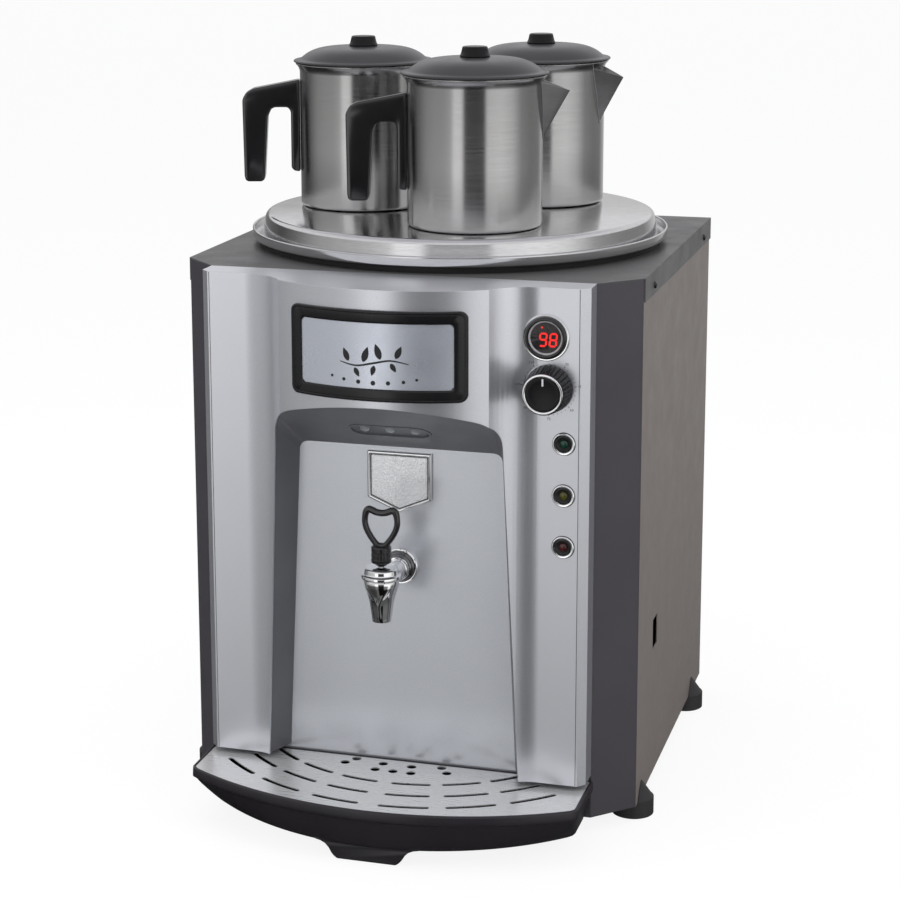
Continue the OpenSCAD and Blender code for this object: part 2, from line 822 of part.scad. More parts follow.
module gauge_module() {
    color("#202020") placed() {
        rod_y(gauge_x, -pilaster_y - 3 + lens_t, gauge_z, gauge_bore_r - fit, 20);
        translate([gauge_x - 9, -pilaster_y - 3 + lens_t + 20, gauge_z - 9]) cube([18, 6, 18]);
    }
}

module knob() {
    color("#1c1c1e") placed() difference() {
        union() {
            cone_y(knob_x, knob_front_y + knob_seat, knob_z, knob_face_r + 0.3, knob_r, knob_len - knob_seat);
            rod_y(knob_x, knob_front_y - 0.2, knob_z, knob_face_r - 2.6, knob_seat + 1);
        }
        for (i = [0 : knob_flutes - 1])
            translate([knob_x, knob_back_y + 1, knob_z]) rotate([0, i * 360 / knob_flutes, 0])
                translate([knob_r + 0.6, 0, 0])
                    rotate([90, 0, -atan((knob_r - knob_face_r) / knob_len)])
                        cylinder(r = 1.3, h = knob_len - knob_seat - 2, $fn = 16);
        rod_y(knob_x, knob_back_y - spindle_in_knob - 0.5, knob_z, spindle_r + running, spindle_in_knob + 10);
    }
}

module knob_ring() {
    color("silver") placed() difference() {
        rod_y(knob_x, knob_front_y, knob_z, knob_face_r, knob_seat);
        rod_y(knob_x, knob_front_y - 5, knob_z, knob_face_r - 2.5, 10);
    }
}

// Points of the capillary tube, from the thermostat's back to the foot of the dry well
capillary_path = [
    [knob_x, pilaster_in + thermo_d - 2, knob_z], [knob_x, 6, knob_z - 1], [knob_x, 17, knob_z - 14],
    [knob_x, 20, knob_z - 40],
    [knob_x, 20, 340], [knob_x, 20, 280], [knob_x, 21, tank_z + 10], [knob_x - 2, 28, tank_z - 12],
    [knob_x - 14, 44, tank_z - 22], [well_x + 40, 80, tank_z - 26], [well_x + 16, 112, tank_z - 26],
    [well_x + 4, well_y - 4, tank_z - 22], [well_x, well_y, tank_z - 10], [well_x, well_y, tank_z + 6]
];

// Tube of eight sides swept along a list of points
module swept_tube(path, r) {
    n = len(path);
    function along(i) = unit(path[min(i + 1, n - 1)] - path[max(i - 1, 0)]);
    function side(i) = let (d = along(i), c = cross(d, [1, 0.2, 0])) unit(c);
    points = [for (i = [0 : n - 1], k = [0 : 7])
        let (s = side(i), u = cross(along(i), s)) path[i] + r * (cos(45 * k) * s + sin(45 * k) * u)];
    walls = [for (i = [0 : n - 2], k = [0 : 7])
        [i * 8 + (k + 1) % 8, i * 8 + k, (i + 1) * 8 + k, (i + 1) * 8 + (k + 1) % 8]];
    caps = [[for (k = [0 : 7]) k], [for (k = [7 : -1 : 0]) (n - 1) * 8 + k]];
    polyhedron(points, concat(walls, caps), convexity = 8);
}

module thermostat() {
    color("#b8b4a8") placed() {
        difference() {
            union() {
                translate([knob_x - thermo_w / 2, pilaster_in + fit, knob_z - thermo_w / 2])
                    cube([thermo_w, thermo_d, thermo_w]);
                rod_y(knob_x, -pilaster_y - 0.5, knob_z, bushing_r, 6);
            }
            rod_y(knob_x, -2 * pilaster_y, knob_z, spindle_r + running, 2 * pilaster_y - 14);
        }
        swept_tube(capillary_path, capillary_r);
        translate([well_x, well_y, tank_z + 5]) cylinder(r = bulb_r, h = bulb_len);
    }
}

module thermostat_spindle() {
    color("silver") placed()
        rod_y(knob_x, knob_back_y - spindle_in_knob, knob_z, spindle_r, spindle_in_knob + 16);
}

module lamp_bezels() {
    color("silver") placed() for (i = [0 : 2]) difference() {
        union() {
            rod_y(lamp_x, -pilaster_y - lamp_flange, lamp_z - i * lamp_pitch, lamp_r, lamp_flange);
            rod_y(lamp_x, -pilaster_y - 1, lamp_z - i * lamp_pitch, lamp_hole_r, 12);
        }
        rod_y(lamp_x, -2 * pilaster_y, lamp_z - i * lamp_pitch, lamp_bore_r, 2 * pilaster_y);
    }
}

// Pilot lamp in its bezel: body and domed lens
module pilot_lamp(i) placed() translate([lamp_x, -pilaster_y - 1.5, lamp_z - i * lamp_pitch]) {
    rod_y(0, 0, 0, lamp_bore_r - fit, lamp_deep);
    intersection() {
        translate([0, 8, 0]) sphere(r = 9.8);
        rod_y(0, -5, 0, lamp_bore_r - fit, 8);
    }
}

module lamp_green() color("#1f4a35") pilot_lamp(0);
module lamp_yellow() color("#6d6420") pilot_lamp(1);
module lamp_red() color("#5a2421") pilot_lamp(2);

// ---------- badge ----------

module shield(inset) {
    h = badge_half - inset;
    polygon([[-h, badge_side + inset / 2], [0, badge_tip + inset], [h, badge_side + inset / 2],
        [h, badge_top - inset], [-h, badge_top - inset]]);
}

module badge() {
    color("silver") placed() {
        hull() {
            slab_y(-bay_plate_t - badge_t + badge_edge, badge_t - badge_edge) shield(0);
            slab_y(-bay_plate_t - badge_t, 1) shield(badge_edge);
        }
        both() rod_y(badge_pin_x, -bay_plate_t - 1, badge_pin_z, badge_pin_r, 8);
    }
}

// ---------- tap ----------

module tap_rosette() {
    color("silver") placed() difference() {
        union() {
            rod_y(0, -bay_plate_t - 3.5, tap_z, rosette_r, 3.5);
            cone_y(0, -bay_plate_t - 5.5, tap_z, rosette_step_r + 1, rosette_r - 0.5, 2);
            rod_y(0, -bay_plate_t - rosette_t, tap_z, rosette_step_r, 3);
        }
        rod_y(0, -20, tap_z, shank_r + fit, 20);
    }
}

module tap_gasket() {
    color("#b0422c") placed() difference() {
        rod_y(0, sheet_t, tap_z, gasket_r, gasket_t);
        rod_y(0, -5, tap_z, shank_r + fit, 20);
    }
}

module tap_nut() {
    color("goldenrod") placed() difference() {
        translate([0, sheet_t + gasket_t, tap_z]) rotate([-90, 0, 0])
            cylinder(r = tap_nut_r, h = tap_nut_h, $fn = 6);
        rod_y(0, -5, tap_z, shank_r + running, 40);
    }
}

// Half section of the barrel, from the spout's tip to its top
barrel_profile = [
    [outlet_r, tap_z - spout_len], [spout_r, tap_z - spout_len], [spout_r, tap_z - spout_len + 3],
    [spout_r + 1.2, tap_z - 23], [spout_r + 2.4, tap_z - 15], [barrel_r - 3.2, tap_z - 9],
    [barrel_r - 1, tap_z - 3], [barrel_r, tap_z + 2], [barrel_r, body_top], [chamber_r, body_top], [chamber_r, tap_seat_z], [outlet_r, tap_seat_z]
];

module tap_body() {
    color("silver") placed() difference() {
        union() {
            translate([0, -tap_y, 0]) rotate_extrude($fn = 96) polygon(barrel_profile);
            difference() {
                union() {
                    rod_y(0, -tap_y, tap_z - 0.5, neck_r - 1.5, tap_y - bay_plate_t - rosette_t);
                    rod_y(0, -bay_plate_t - rosette_t - 4, tap_z, neck_r + 0.5, 4);
                    rod_y(0, -tap_y, tap_z, shank_r, tap_y + shank_end);
                }
                translate([0, -tap_y, 0]) cylinder(r = (chamber_r + barrel_r) / 2, h = 2 * tap_z);
                translate([0, -tap_y, body_top]) cylinder(r = bonnet_ring_r + play, h = tap_z);
            }
        }
        rod_y(0, -tap_y, tap_z, outlet_r, tap_y + shank_end + 5);
    }
}

bonnet_profile = [
    [stem_r + running, bonnet_top], [bonnet_r - 2, bonnet_top], [bonnet_r, bonnet_top - 2],
    [bonnet_r, body_top + bonnet_ring_h + 1], [bonnet_ring_r, body_top + bonnet_ring_h],
    [bonnet_ring_r, body_top + 1], [bonnet_ring_r - 1, body_top], [chamber_r - fit, body_top],
    [chamber_r - fit, body_top - spigot_len], [chamber_r - 1.8, body_top - spigot_len],
    [chamber_r - 1.8, bonnet_top - bonnet_wall], [stem_r + running, bonnet_top - bonnet_wall]
];

module tap_bonnet() {
    color("silver") placed() translate([0, -tap_y, 0]) rotate_extrude($fn = 96) polygon(bonnet_profile);
}

// Right half of the lever's loop, as drawn from the front
function loop_right(w, low, high, dip) = [
    [0, low], [w * 0.30, low], [w * 0.52, low + (high - low) * 0.12],
    [w * 0.86, low + (high - low) * 0.34], [w, low + (high - low) * 0.56],
    [w * 0.94, low + (high - low) * 0.78], [w * 0.78, high - 1], [w * 0.66, high],
    [w * 0.44, high - dip * 0.55], [w * 0.2, high - dip * 0.95], [0, high - dip]
];
function loop_shape(w, low, high, dip) = let (r = loop_right(w, low, high, dip))
    concat(r, [for (i = [len(r) - 2 : -1 : 1]) [-r[i][0], r[i][1]]]);

module tap_lever() {
    color("#1a1a1c") placed() translate([0, -tap_y, 0]) difference() {
        union() {
            translate([0, 0, pivot_z]) sphere(r = pivot_r);
            translate([0, 0, pivot_z - collar_low])
                cylinder(r = collar_r, h = collar_top - pivot_z + collar_low);
            slab_y(-loop_t / 2, loop_t) difference() {
                polygon(loop_shape(loop_w / 2, collar_top - 2, collar_top + loop_h, 3));
                polygon(loop_shape(loop_w / 2 - 5.6, collar_top + 2, collar_top + loop_h - 6, 2.5));
            }
        }
        translate([-stem_r - play, -lever_slot, pivot_z - 10])
            cube([2 * (stem_r + play), 2 * lever_slot, 18.4]);
        translate([-pin_len, 0, pivot_z]) rotate([0, 90, 0]) cylinder(r = pin_r + fit / 4, h = 2 * pin_len);
    }
}

module tap_pin() {
    color("silver") placed() translate([-pin_len / 2, -tap_y, pivot_z]) rotate([0, 90, 0])
        cylinder(r = pin_r, h = pin_len);
}

module tap_stem() {
    color("gray") placed() translate([0, -tap_y, 0]) difference() {
        union() {
            translate([0, 0, stem_foot]) cylinder(r = stem_r, h = stem_top - stem_foot);
            translate([0, 0, cup_top]) cylinder(r = washer_r, h = washer_t);
        }
        translate([-5, -pin_r - fit, pivot_z - stem_rise - pin_r - play])
            cube([10, 2 * (pin_r + fit), stem_rise + 2 * pin_r + 2 * play]);
    }
}

module tap_seat_cup() {
    color("#d8d4c8") placed() translate([0, -tap_y, 0]) difference() {
        translate([0, 0, tap_seat_z + fit]) cylinder(r = cup_r, h = cup_top - tap_seat_z - fit);
        translate([0, 0, stem_foot]) cylinder(r = stem_r + fit / 4, h = cup_top);
    }
}

module tap_spring() {
    steps = 12 * spring_turns;
    path = [for (i = [0 : steps]) [spring_r * cos(i * 30), -tap_y + spring_r * sin(i * 30),
        spring_low + (spring_high - spring_low) * i / steps]];
    color("silver") placed() swept_coil(path, spring_wire);
}

// Coil wire of six sides, rings kept radial
module swept_coil(path, r) {
    n = len(path);
    points = [for (i = [0 : n - 1], k = [0 : 5]) let (
            out = unit([path[i][0], path[i][1] + tap_y, 0]))
        path[i] + r * (cos(60 * k) * out + sin(60 * k) * [0, 0, 1])];
    walls = [for (i = [0 : n - 2], k = [0 : 5])
        [i * 6 + (k + 1) % 6, i * 6 + k, (i + 1) * 6 + k, (i + 1) * 6 + (k + 1) % 6]];
    caps = [[for (k = [0 : 5]) k], [for (k = [5 : -1 : 0]) (n - 1) * 6 + k]];
    polyhedron(points, concat(walls, caps), convexity = 12);
}

// ---------- drip tray ----------

tray_half = fascia_half + tray_over;
tray_back = bay_plate_t + play;
tray_foot_half = tray_half - 9;
tray_foot_reach = tray_reach - 10;
tray_foot_r = 245;
tray_foot_z = 14;
tray_rim_w = 3;
band_step = 2;
ledge_w = 3.5;
grate_z = tray_top - grate_t - 0.8;
tongue_x = fascia_half - 63;
tongue_w = 20;
tongue_h = 8;
tongue_z = 30;
tongue_len = 14;
leg_top_half = leg_half + 12;
leg_t = 16;
plan_steps = 32;

// Tray outline in plan: straight back and sides, round front
function round_plan(half, reach, r, inset, back) = let (
        w = half - inset,
        rr = r - inset,
        cy = r - reach,
        a = asin(w / rr))
    concat([[-w, -tray_back - back]],
        [for (i = [0 : plan_steps]) let (t = -a + 2 * a * i / plan_steps) [rr * sin(t), cy - rr * cos(t)]],
        [[w, -tray_back - back]]);

module rim_plan(inset, back) polygon(round_plan(tray_half, tray_reach, tray_r, inset, back));
module foot_plan(inset, back) polygon(round_plan(tray_foot_half, tray_foot_reach, tray_foot_r, inset, back));

module bowl(inset, low, high) hull() {
    translate([0, 0, high - 0.1]) linear_extrude(0.1) rim_plan(inset + band_step, inset);
    translate([0, 0, low]) linear_extrude(0.1) foot_plan(inset, inset);
}

// Front leg with hollow fillets towards the tray, drawn from the front
function leg_right() = concat(
    [[leg_half, 0], [leg_half + 2.5, 3]],
    [for (i = [0 : 6]) let (t = i * 15)
        [leg_half + 3.5 + (leg_top_half - leg_half) * (1 - cos(t)), 5 + (tray_foot_z - 4) * sin(t)]],
    [[leg_top_half + 2, tray_foot_z + 4]]);

module drip_tray() {
    color("#2b292c") placed() {
        difference() {
            union() {
                bowl(0, tray_foot_z, tray_top - tray_band + 0.1);
                translate([0, 0, tray_top - tray_band]) linear_extrude(tray_band) rim_plan(0, 0);
            }
            bowl(tray_wall, tray_foot_z + tray_wall, tray_top - tray_band + 0.2);
            translate([0, 0, tray_top - tray_band]) linear_extrude(tray_band)
                rim_plan(tray_rim_w + ledge_w, tray_rim_w + ledge_w);
            translate([0, 0, grate_z - fit]) linear_extrude(tray_band) rim_plan(tray_rim_w, tray_rim_w);
        }
        both() translate([tongue_x - tongue_w / 2, -tray_back - 1, tongue_z])
            cube([tongue_w, tongue_len + tray_back + 1, tongue_h]);
        slab_y(-tray_foot_reach - 3, leg_t)
            polygon(concat(leg_right(), [for (i = [len(leg_right()) - 1 : -1 : 0])
                [-leg_right()[i][0], leg_right()[i][1]]]));
    }
}

slot_y = 112;
slot_rows = [221, 195, 169];
slot_angles = [8.5, 24.5, 40];
slot_span = 5.5;
drain_holes = [[0, -30], [17.5, -30], [14, -15], [50, -21], [42, -10]];

// Outline of a slot curved about the middle of the slot pattern, r from it, at angle a from straight ahead
arc_points = 4;
end_points = 5;
function ray(t) = [sin(t), -cos(t)];
function round_end(r, t, from) = [for (i = [1 : end_points - 1])
    let (f = from + 180 * i / end_points)
    r * ray(t) + slot_w / 2 * (cos(f) * ray(t) + sin(f) * [cos(t), sin(t)])];
function slot_outline(r, a) = concat(
    [for (i = [-arc_points : arc_points]) (r + slot_w / 2) * ray(a + slot_span * i / arc_points)],
    round_end(r, a + slot_span, 0),
    [for (i = [arc_points : -1 : -arc_points]) (r - slot_w / 2) * ray(a + slot_span * i / arc_points)],
    round_end(r, a - slot_span, 180));

module tray_grate() {
    color("#c9c9cb") placed() translate([0, 0, grate_z]) linear_extrude(grate_t) difference() {
        rim_plan(tray_rim_w + play, tray_rim_w + play);
        translate([0, slot_y]) for (r = slot_rows, a = slot_angles, s = [-1, 1])
            polygon(slot_outline(r, s * a));
        for (p = drain_holes, s = [-1, 1]) translate([s * p[0], p[1]]) circle(drain_r, $fn = 24);
    }
}

// ---------- tank ----------

module tank() {
    color("#b9bcc0") placed() difference() {
        union() {
            translate([0, tank_y, 0]) rotate_extrude($fn = 180) polygon([
                [0, tank_z], [tank_r, tank_z], [tank_r, cab_top], [tank_flange_r, cab_top],
                [tank_flange_r, tank_top], [tank_in_r, tank_top], [tank_in_r, tank_z + tank_t],
                [0, tank_z + tank_t]]);
            difference() {
                rod_y(0, socket_y, tap_z, socket_r, tank_y - tank_r - socket_y + 4);
                translate([0, tank_y, 0]) cylinder(r = tank_in_r + 0.2, h = 2 * cab_top, $fn = 180);
            }
            translate([well_x, well_y, tank_z]) cylinder(r = well_r, h = well_top - tank_z);
        }
        rod_y(0, 0, tap_z, shank_r + running, tank_y - tank_r + 10);
        translate([0, tank_y, tank_z - 1]) cylinder(r = heater_hole_r, h = 4);
        translate([well_x, well_y, tank_z - 1]) cylinder(r = bulb_r + play, h = well_top - tank_z - 1);
    }
}

module tank_insulation() {
    color("#d9cf9a") placed() difference() {
        translate([0, tank_y, tank_z]) cylinder(r = tank_r + play + wool_t, h = under_lid - 16 - tank_z, $fn = 180);
        translate([0, tank_y, 0]) cylinder(r = tank_r + play, h = 2 * cab_top, $fn = 180);
        rod_y(0, 0, tap_z, socket_r + play, tank_y);
    }
}

module tank_seal() {
    color("#161616") placed() translate([0, tank_y, 0]) rotate_extrude($fn = 180) polygon([
        [tank_r + 5, tank_top], [tank_flange_r + play, tank_top], [tank_flange_r + play, cab_top],
        [seal_r, cab_top], [seal_r, seal_top], [tank_r + 5, seal_top]]);
}

// Heating tube: a ring inside the tank with a gap, two legs from the gap down through the flange
module heating_element() {
    y0 = -sqrt(heater_r * heater_r - heater_leg_x * heater_leg_x);
    color("#a9824a") placed() translate([0, tank_y, 0]) {
        difference() {
            translate([0, 0, heater_z]) rotate_extrude($fn = 96)
                translate([heater_r, 0]) circle(heater_tube_r, $fn = 24);
            translate([-heater_leg_x, -2 * heater_r, heater_z - 10])
                cube([2 * heater_leg_x, 2 * heater_r, 20]);
        }
        for (s = [-1, 1]) translate([s * heater_leg_x, 0, 0]) {
            translate([0, y0, heater_z]) sphere(r = heater_tube_r + 0.2, $fn = 24);
            translate([0, y0, heater_z]) rotate([-90, 0, 0]) cylinder(r = heater_tube_r, h = -y0, $fn = 24);
            translate([0, 0, heater_z]) sphere(r = heater_tube_r + 0.2, $fn = 24);
            translate([0, 0, tank_z - 1]) cylinder(r = heater_tube_r, h = heater_z - tank_z + 1, $fn = 24);
            translate([0, 0, tank_z - heater_flange_t - heater_pin_len])
                cylinder(r = heater_pin_r, h = heater_pin_len + 1, $fn = 24);
        }
        translate([0, 0, tank_z - heater_flange_t]) cylinder(r = heater_flange_r, h = heater_flange_t);
    }
}

module limit_thermostat() {
    color("#40372f") placed() translate([-60, tank_y - 60, 0]) {
        translate([0, 0, tank_z - 3]) cylinder(r = 12, h = 3);
        translate([0, 0, tank_z - 14]) cylinder(r = 8, h = 12);
        for (x = [-4, 4]) translate([x - 0.4, -3, tank_z - 22]) cube([0.8, 6, 9]);
    }
}

module terminal_block() {
    color("#e6e0cc") placed() translate([gland_x - block_pitch, rear_y - 80, pan_top]) difference() {
        cube([block_poles * block_pitch, block_w, block_h]);
        for (i = [0 : block_poles - 1]) translate([(i + 0.5) * block_pitch, 0, 0]) {
            translate([0, block_w / 2, block_h / 2]) cylinder(r = block_pitch / 5, h = block_h);
            translate([0, -1, block_h / 3]) rotate([-90, 0, 0]) cylinder(r = block_pitch / 7, h = block_w + 2);
        }
    }
}

module cable_gland() {
    color("#202022") placed() difference() {
        union() {
            translate([gland_x, rear_y, gland_z]) rotate([-90, 0, 0]) cylinder(r = gland_r + 1, h = 6, $fn = 6);
            cone_y(gland_x, rear_y + 6, gland_z, gland_r, gland_r - 3, gland_out - 6);
            rod_y(gland_x, rear_y - 12, gland_z, gland_r - 3, 13);
            translate([gland_x, rear_y - sheet_t - 5, gland_z]) rotate([-90, 0, 0])
                cylinder(r = gland_r + 1, h = 5, $fn = 6);
        }
        rod_y(gland_x, rear_y - 20, gland_z, gland_bore, 50);
    }
}

// ---------- warming plate ----------

module top_plate() {
    shoulder = 4;
    color("#bfc0c2") placed() translate([0, tank_y, 0]) rotate_extrude($fn = 240) polygon(concat(
        [[0, plate_top - plate_t], [0, plate_top]],
        [for (i = [0 : 4]) [disc_r - shoulder + shoulder * sin(22.5 * i),
            plate_top - shoulder + shoulder * cos(22.5 * i)]],
        [[foot_of_disc, gutter_z], [plate_r - plate_t, gutter_z], [plate_r - plate_t, lip_top],
            [plate_r, lip_top], [plate_r, gutter_z - plate_t], [foot_of_disc - plate_t, gutter_z - plate_t],
            [disc_r - plate_t, plate_top - shoulder - plate_t], [disc_r - plate_t - 2, plate_top - plate_t],
            [ring_r, plate_top - plate_t], [ring_r, ring_low], [ring_r - plate_t, ring_low],
            [ring_r - plate_t, plate_top - plate_t]]));
}

// ---------- teapots ----------

// Puts a teapot's children at its place, the handle towards -x before turning
module at_pot(angle, turn) placed()
    translate([pot_ring * cos(angle), tank_y + pot_ring * sin(angle), 0]) rotate([0, 0, turn]) children();

spout_top = pot_rim - 6;
spout_drop = 10.5;
spout_low = pot_rim - 65;
spout_half = 15;

// Outside of a teapot's wall from its foot to the flared rim, grown by more
function wall_outline(more) = [[pot_r + more, pot_h - 9], [pot_r + rim_flare - 1 + more, pot_h - 3],
    [pot_r + rim_flare + more, pot_h - 1], [pot_r + rim_flare + more, pot_h]];

// Folded beak: a wedge of sheet, open at its top
module beak(t) {
    r = pot_r - pot_t - 1;
    polyhedron(
        [[r, -spout_half + 1.2 * t, spout_top + t], [r, spout_half - 1.2 * t, spout_top + t],
            [pot_r + spout_reach - 2 * t, 0, spout_top - spout_drop + 3 * t], [r, 0, spout_low + 3 * t]],
        [[0, 1, 2], [0, 3, 1], [1, 3, 2], [2, 3, 0]]);
}

module pot_body() {
    difference() {
        union() {
            translate([0, 0, pot_z]) rotate_extrude($fn = 120) polygon(concat(
                [[0, 0], [pot_r - 3, 0], [pot_r - 1, 1], [pot_r, 3]], wall_outline(0),
                [[pot_r + rim_flare - 1.2, pot_h], [pot_r + rim_flare - 2.2, pot_h - 2.4],
                [pot_r - pot_t, pot_h - 8.6], [pot_r - pot_t, 1 + pot_t], [0, pot_t]]));
            difference() {
                beak(0);
                cylinder(r = pot_r - pot_t / 2, h = 2 * pot_rim);
            }
        }
        difference() {
            beak(1);
            translate([0, 0, pot_z]) rotate_extrude($fn = 120)
                polygon(concat([[0, 0], [pot_r + 0.2, 0]], wall_outline(0.2), [[0, pot_h]]));
        }
        for (z = [spout_top - 8, spout_top - 18, spout_top - 28], y = [-1, 1])
            if (z > spout_low)
                translate([pot_r - 8, y * (z - spout_low) / 9, z]) rotate([0, 90, 0])
                    cylinder(r = strainer_r, h = 10, $fn = 24);
    }
}

// Handle drawn in r and z: an upside down U, slanting at its top
function handle_outline() = let (
        r0 = pot_r + play,
        r1 = pot_r + handle_reach,
        top = pot_rim - 17,
        out = top - 13)
    [[r0, top], [r1 - 11, out + 4], [r1 - 4, out], [r1, out - 7], [r1 - 1, out - 86], [r1 - 2, out - 91],
        [r1 - 5, out - 93], [r1 - 16, out - 93], [r1 - 19, out - 91.5], [r1 - 20, out - 87], [r0 + handle_gap_out - 1, out - 24],
        [r0 + handle_gap_out - 4, out - 17], [r0 + handle_gap_out - 8, out - 15],
        [r0 + handle_gap_in + 3, out - 15], [r0 + handle_gap_in, out - 19],
        [r0 + handle_gap_in, top - 89], [r0 + handle_gap_in - 3, top - 92], [r0, top - 93]];

module pot_handle() {
    mirror([1, 0, 0]) translate([0, handle_w / 2, 0]) rotate([90, 0, 0])
        linear_extrude(handle_w) polygon(handle_outline());
}

module pot_lid() {
    function dome(x, r) = dome_h * (1 - pow(x / r, dome_power));
    lid_r = pot_r + rim_flare + 2;
    skirt_r = pot_r - pot_t - 0.8;
    translate([0, 0, lid_z]) rotate_extrude($fn = 120) polygon(concat(
        [[0, lid_lip + dome_h]],
        [for (i = [1 : 16]) let (x = pot_r * i / 16) [x, lid_lip + dome(x, pot_r)]],
        [[lid_r - 0.6, lid_lip], [lid_r, lid_lip - 0.8], [lid_r, 0], [skirt_r, 0], [skirt_r, -lid_skirt],
            [skirt_r - lid_t, -lid_skirt], [skirt_r - lid_t, lid_lip - lid_t]],
        [for (i = [15 : -1 : 1]) let (x = (skirt_r - lid_t) * i / 16)
            [x, lid_lip - lid_t + dome(x, skirt_r - lid_t)]],
        [[0, lid_lip + dome_h - lid_t]]));
}

module pot_knob() {
    translate([0, 0, lid_z + lid_lip + dome_h]) rotate_extrude($fn = 48) polygon([
        [0, 0], [14, 0], [14.3, 1], [13.6, 2.6], [12.2, lid_knob_h - 2.2], [11.8, lid_knob_h - 0.8],
        [10.9, lid_knob_h], [0, lid_knob_h]]);
}

module front_pot() color("#aaabad") at_pot(front_pot_angle, front_pot_turn) pot_body();
module front_pot_handle() color("#1b1b1d") at_pot(front_pot_angle, front_pot_turn) pot_handle();
module front_pot_lid() color("#55565a") at_pot(front_pot_angle, front_pot_turn) pot_lid();
module front_pot_knob() color("#1b1b1d") at_pot(front_pot_angle, front_pot_turn) pot_knob();
module left_pot() color("#aaabad") at_pot(left_pot_angle, left_pot_turn) pot_body();
module left_pot_handle() color("#1b1b1d") at_pot(left_pot_angle, left_pot_turn) pot_handle();
module left_pot_lid() color("#55565a") at_pot(left_pot_angle, left_pot_turn) pot_lid();
module left_pot_knob() color("#1b1b1d") at_pot(left_pot_angle, left_pot_turn) pot_knob();
module right_pot() color("#aaabad") at_pot(right_pot_angle, right_pot_turn) pot_body();
module right_pot_handle() color("#1b1b1d") at_pot(right_pot_angle, right_pot_turn) pot_handle();
module right_pot_lid() color("#55565a") at_pot(right_pot_angle, right_pot_turn) pot_lid();
module right_pot_knob() color("#1b1b1d") at_pot(right_pot_angle, right_pot_turn) pot_knob();

base_pan();
side_panel_left();
side_panel_right();
rear_panel();
front_panel();
bay_back_plate();
top_cover();
panel_screws();
feet();
foot_screws();
fascia();
bay_liner();
sign_frame();
sign_panel();
led_housing();
led_lamps();
gauge_bezel();
gauge_lens();
gauge_module();
knob();
knob_ring();
thermostat();
thermostat_spindle();
lamp_bezels();
lamp_green();
lamp_yellow();
lamp_red();
badge();
tap_rosette();
tap_gasket();
tap_body();
tap_bonnet();
tap_lever();
tap_pin();
tap_stem();
tap_seat_cup();
tap_spring();
tap_nut();
drip_tray();
tray_grate();
tank();
tank_insulation();
tank_seal();
heating_element();
limit_thermostat();
terminal_block();
cable_gland();
top_plate();
front_pot();
front_pot_handle();
front_pot_lid();
front_pot_knob();
left_pot();
left_pot_handle();
left_pot_lid();
left_pot_knob();
right_pot();
right_pot_handle();
right_pot_lid();
right_pot_knob();
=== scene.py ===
"""Hot water urn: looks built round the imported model. Millimetres, with y = 0 at the cabinet's front."""
import json
import math

import bmesh
import bpy
from mathutils import Matrix, Vector

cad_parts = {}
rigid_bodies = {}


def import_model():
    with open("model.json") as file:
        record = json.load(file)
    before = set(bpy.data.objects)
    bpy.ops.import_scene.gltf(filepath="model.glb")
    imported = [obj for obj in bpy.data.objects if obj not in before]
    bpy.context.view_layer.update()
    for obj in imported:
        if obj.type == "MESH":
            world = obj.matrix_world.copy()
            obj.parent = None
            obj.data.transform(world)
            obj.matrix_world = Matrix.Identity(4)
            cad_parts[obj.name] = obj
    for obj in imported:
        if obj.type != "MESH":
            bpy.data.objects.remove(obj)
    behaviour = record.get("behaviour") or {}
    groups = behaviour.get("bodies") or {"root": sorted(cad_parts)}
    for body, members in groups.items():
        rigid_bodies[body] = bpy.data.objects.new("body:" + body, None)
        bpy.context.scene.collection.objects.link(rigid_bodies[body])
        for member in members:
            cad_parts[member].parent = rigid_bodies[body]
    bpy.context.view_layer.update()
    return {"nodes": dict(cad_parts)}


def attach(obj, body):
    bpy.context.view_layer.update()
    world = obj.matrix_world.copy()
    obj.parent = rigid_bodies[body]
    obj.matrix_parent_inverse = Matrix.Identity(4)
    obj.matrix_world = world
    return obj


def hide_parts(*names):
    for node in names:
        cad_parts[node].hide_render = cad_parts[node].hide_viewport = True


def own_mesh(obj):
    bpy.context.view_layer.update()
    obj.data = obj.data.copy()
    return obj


for old in list(bpy.data.objects):
    bpy.data.objects.remove(old, do_unlink=True)
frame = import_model()
NODE = frame["nodes"]
MM = 0.001

# ---------- sizes that the model was made with ----------
MID_Y = 151.85
TANK_Y = 210
FASCIA_Z, CAB_TOP, CAB_HALF = 58, 522, 220
FASCIA_HALF, PILASTER, COVE, BULGE = 183, 30, 140, 98
BULGE_Y, BULGE_R = 82, 186
CREASE_Y = BULGE_R - BULGE_Y - math.sqrt(BULGE_R**2 - BULGE**2)
COVE_DX, COVE_DY = COVE - BULGE, -PILASTER - CREASE_Y
COVE_R = (COVE_DX**2 + COVE_DY**2) / (2 * COVE_DY)
TAP_Y, TAP_Z = 62, 246
POT_R, POT_H, POT_Z = 64, 143, 552.3
POTS = {"front": (-67, 12), "left": (173, 15), "right": (53, -10)}


def front_at(x):
    """y of the fascia's surface at x."""
    a = abs(x)
    if a <= BULGE:
        return BULGE_R - BULGE_Y - math.sqrt(BULGE_R**2 - a * a)
    if a <= COVE:
        return -PILASTER - COVE_R + math.sqrt(COVE_R**2 - (COVE - a) ** 2)
    return -PILASTER


def at(x, y, z, turn=0.0, facing=False):
    """Matrix of a piece's own frame: turned about +Z, or facing the front: x right, y up, z forward."""
    m = Matrix.Translation(Vector((x, y - MID_Y, z)) * MM)
    if facing:
        return m @ Matrix.Rotation(math.radians(90), 4, "X")
    return m @ Matrix.Rotation(math.radians(turn), 4, "Z")


def cosd(a):
    return math.cos(math.radians(a))


def sind(a):
    return math.sin(math.radians(a))


def circle(cx, cz, r, angles):
    """Points of a circle at these angles, in degrees."""
    return [(cx + r * cosd(a), cz + r * sind(a)) for a in angles]


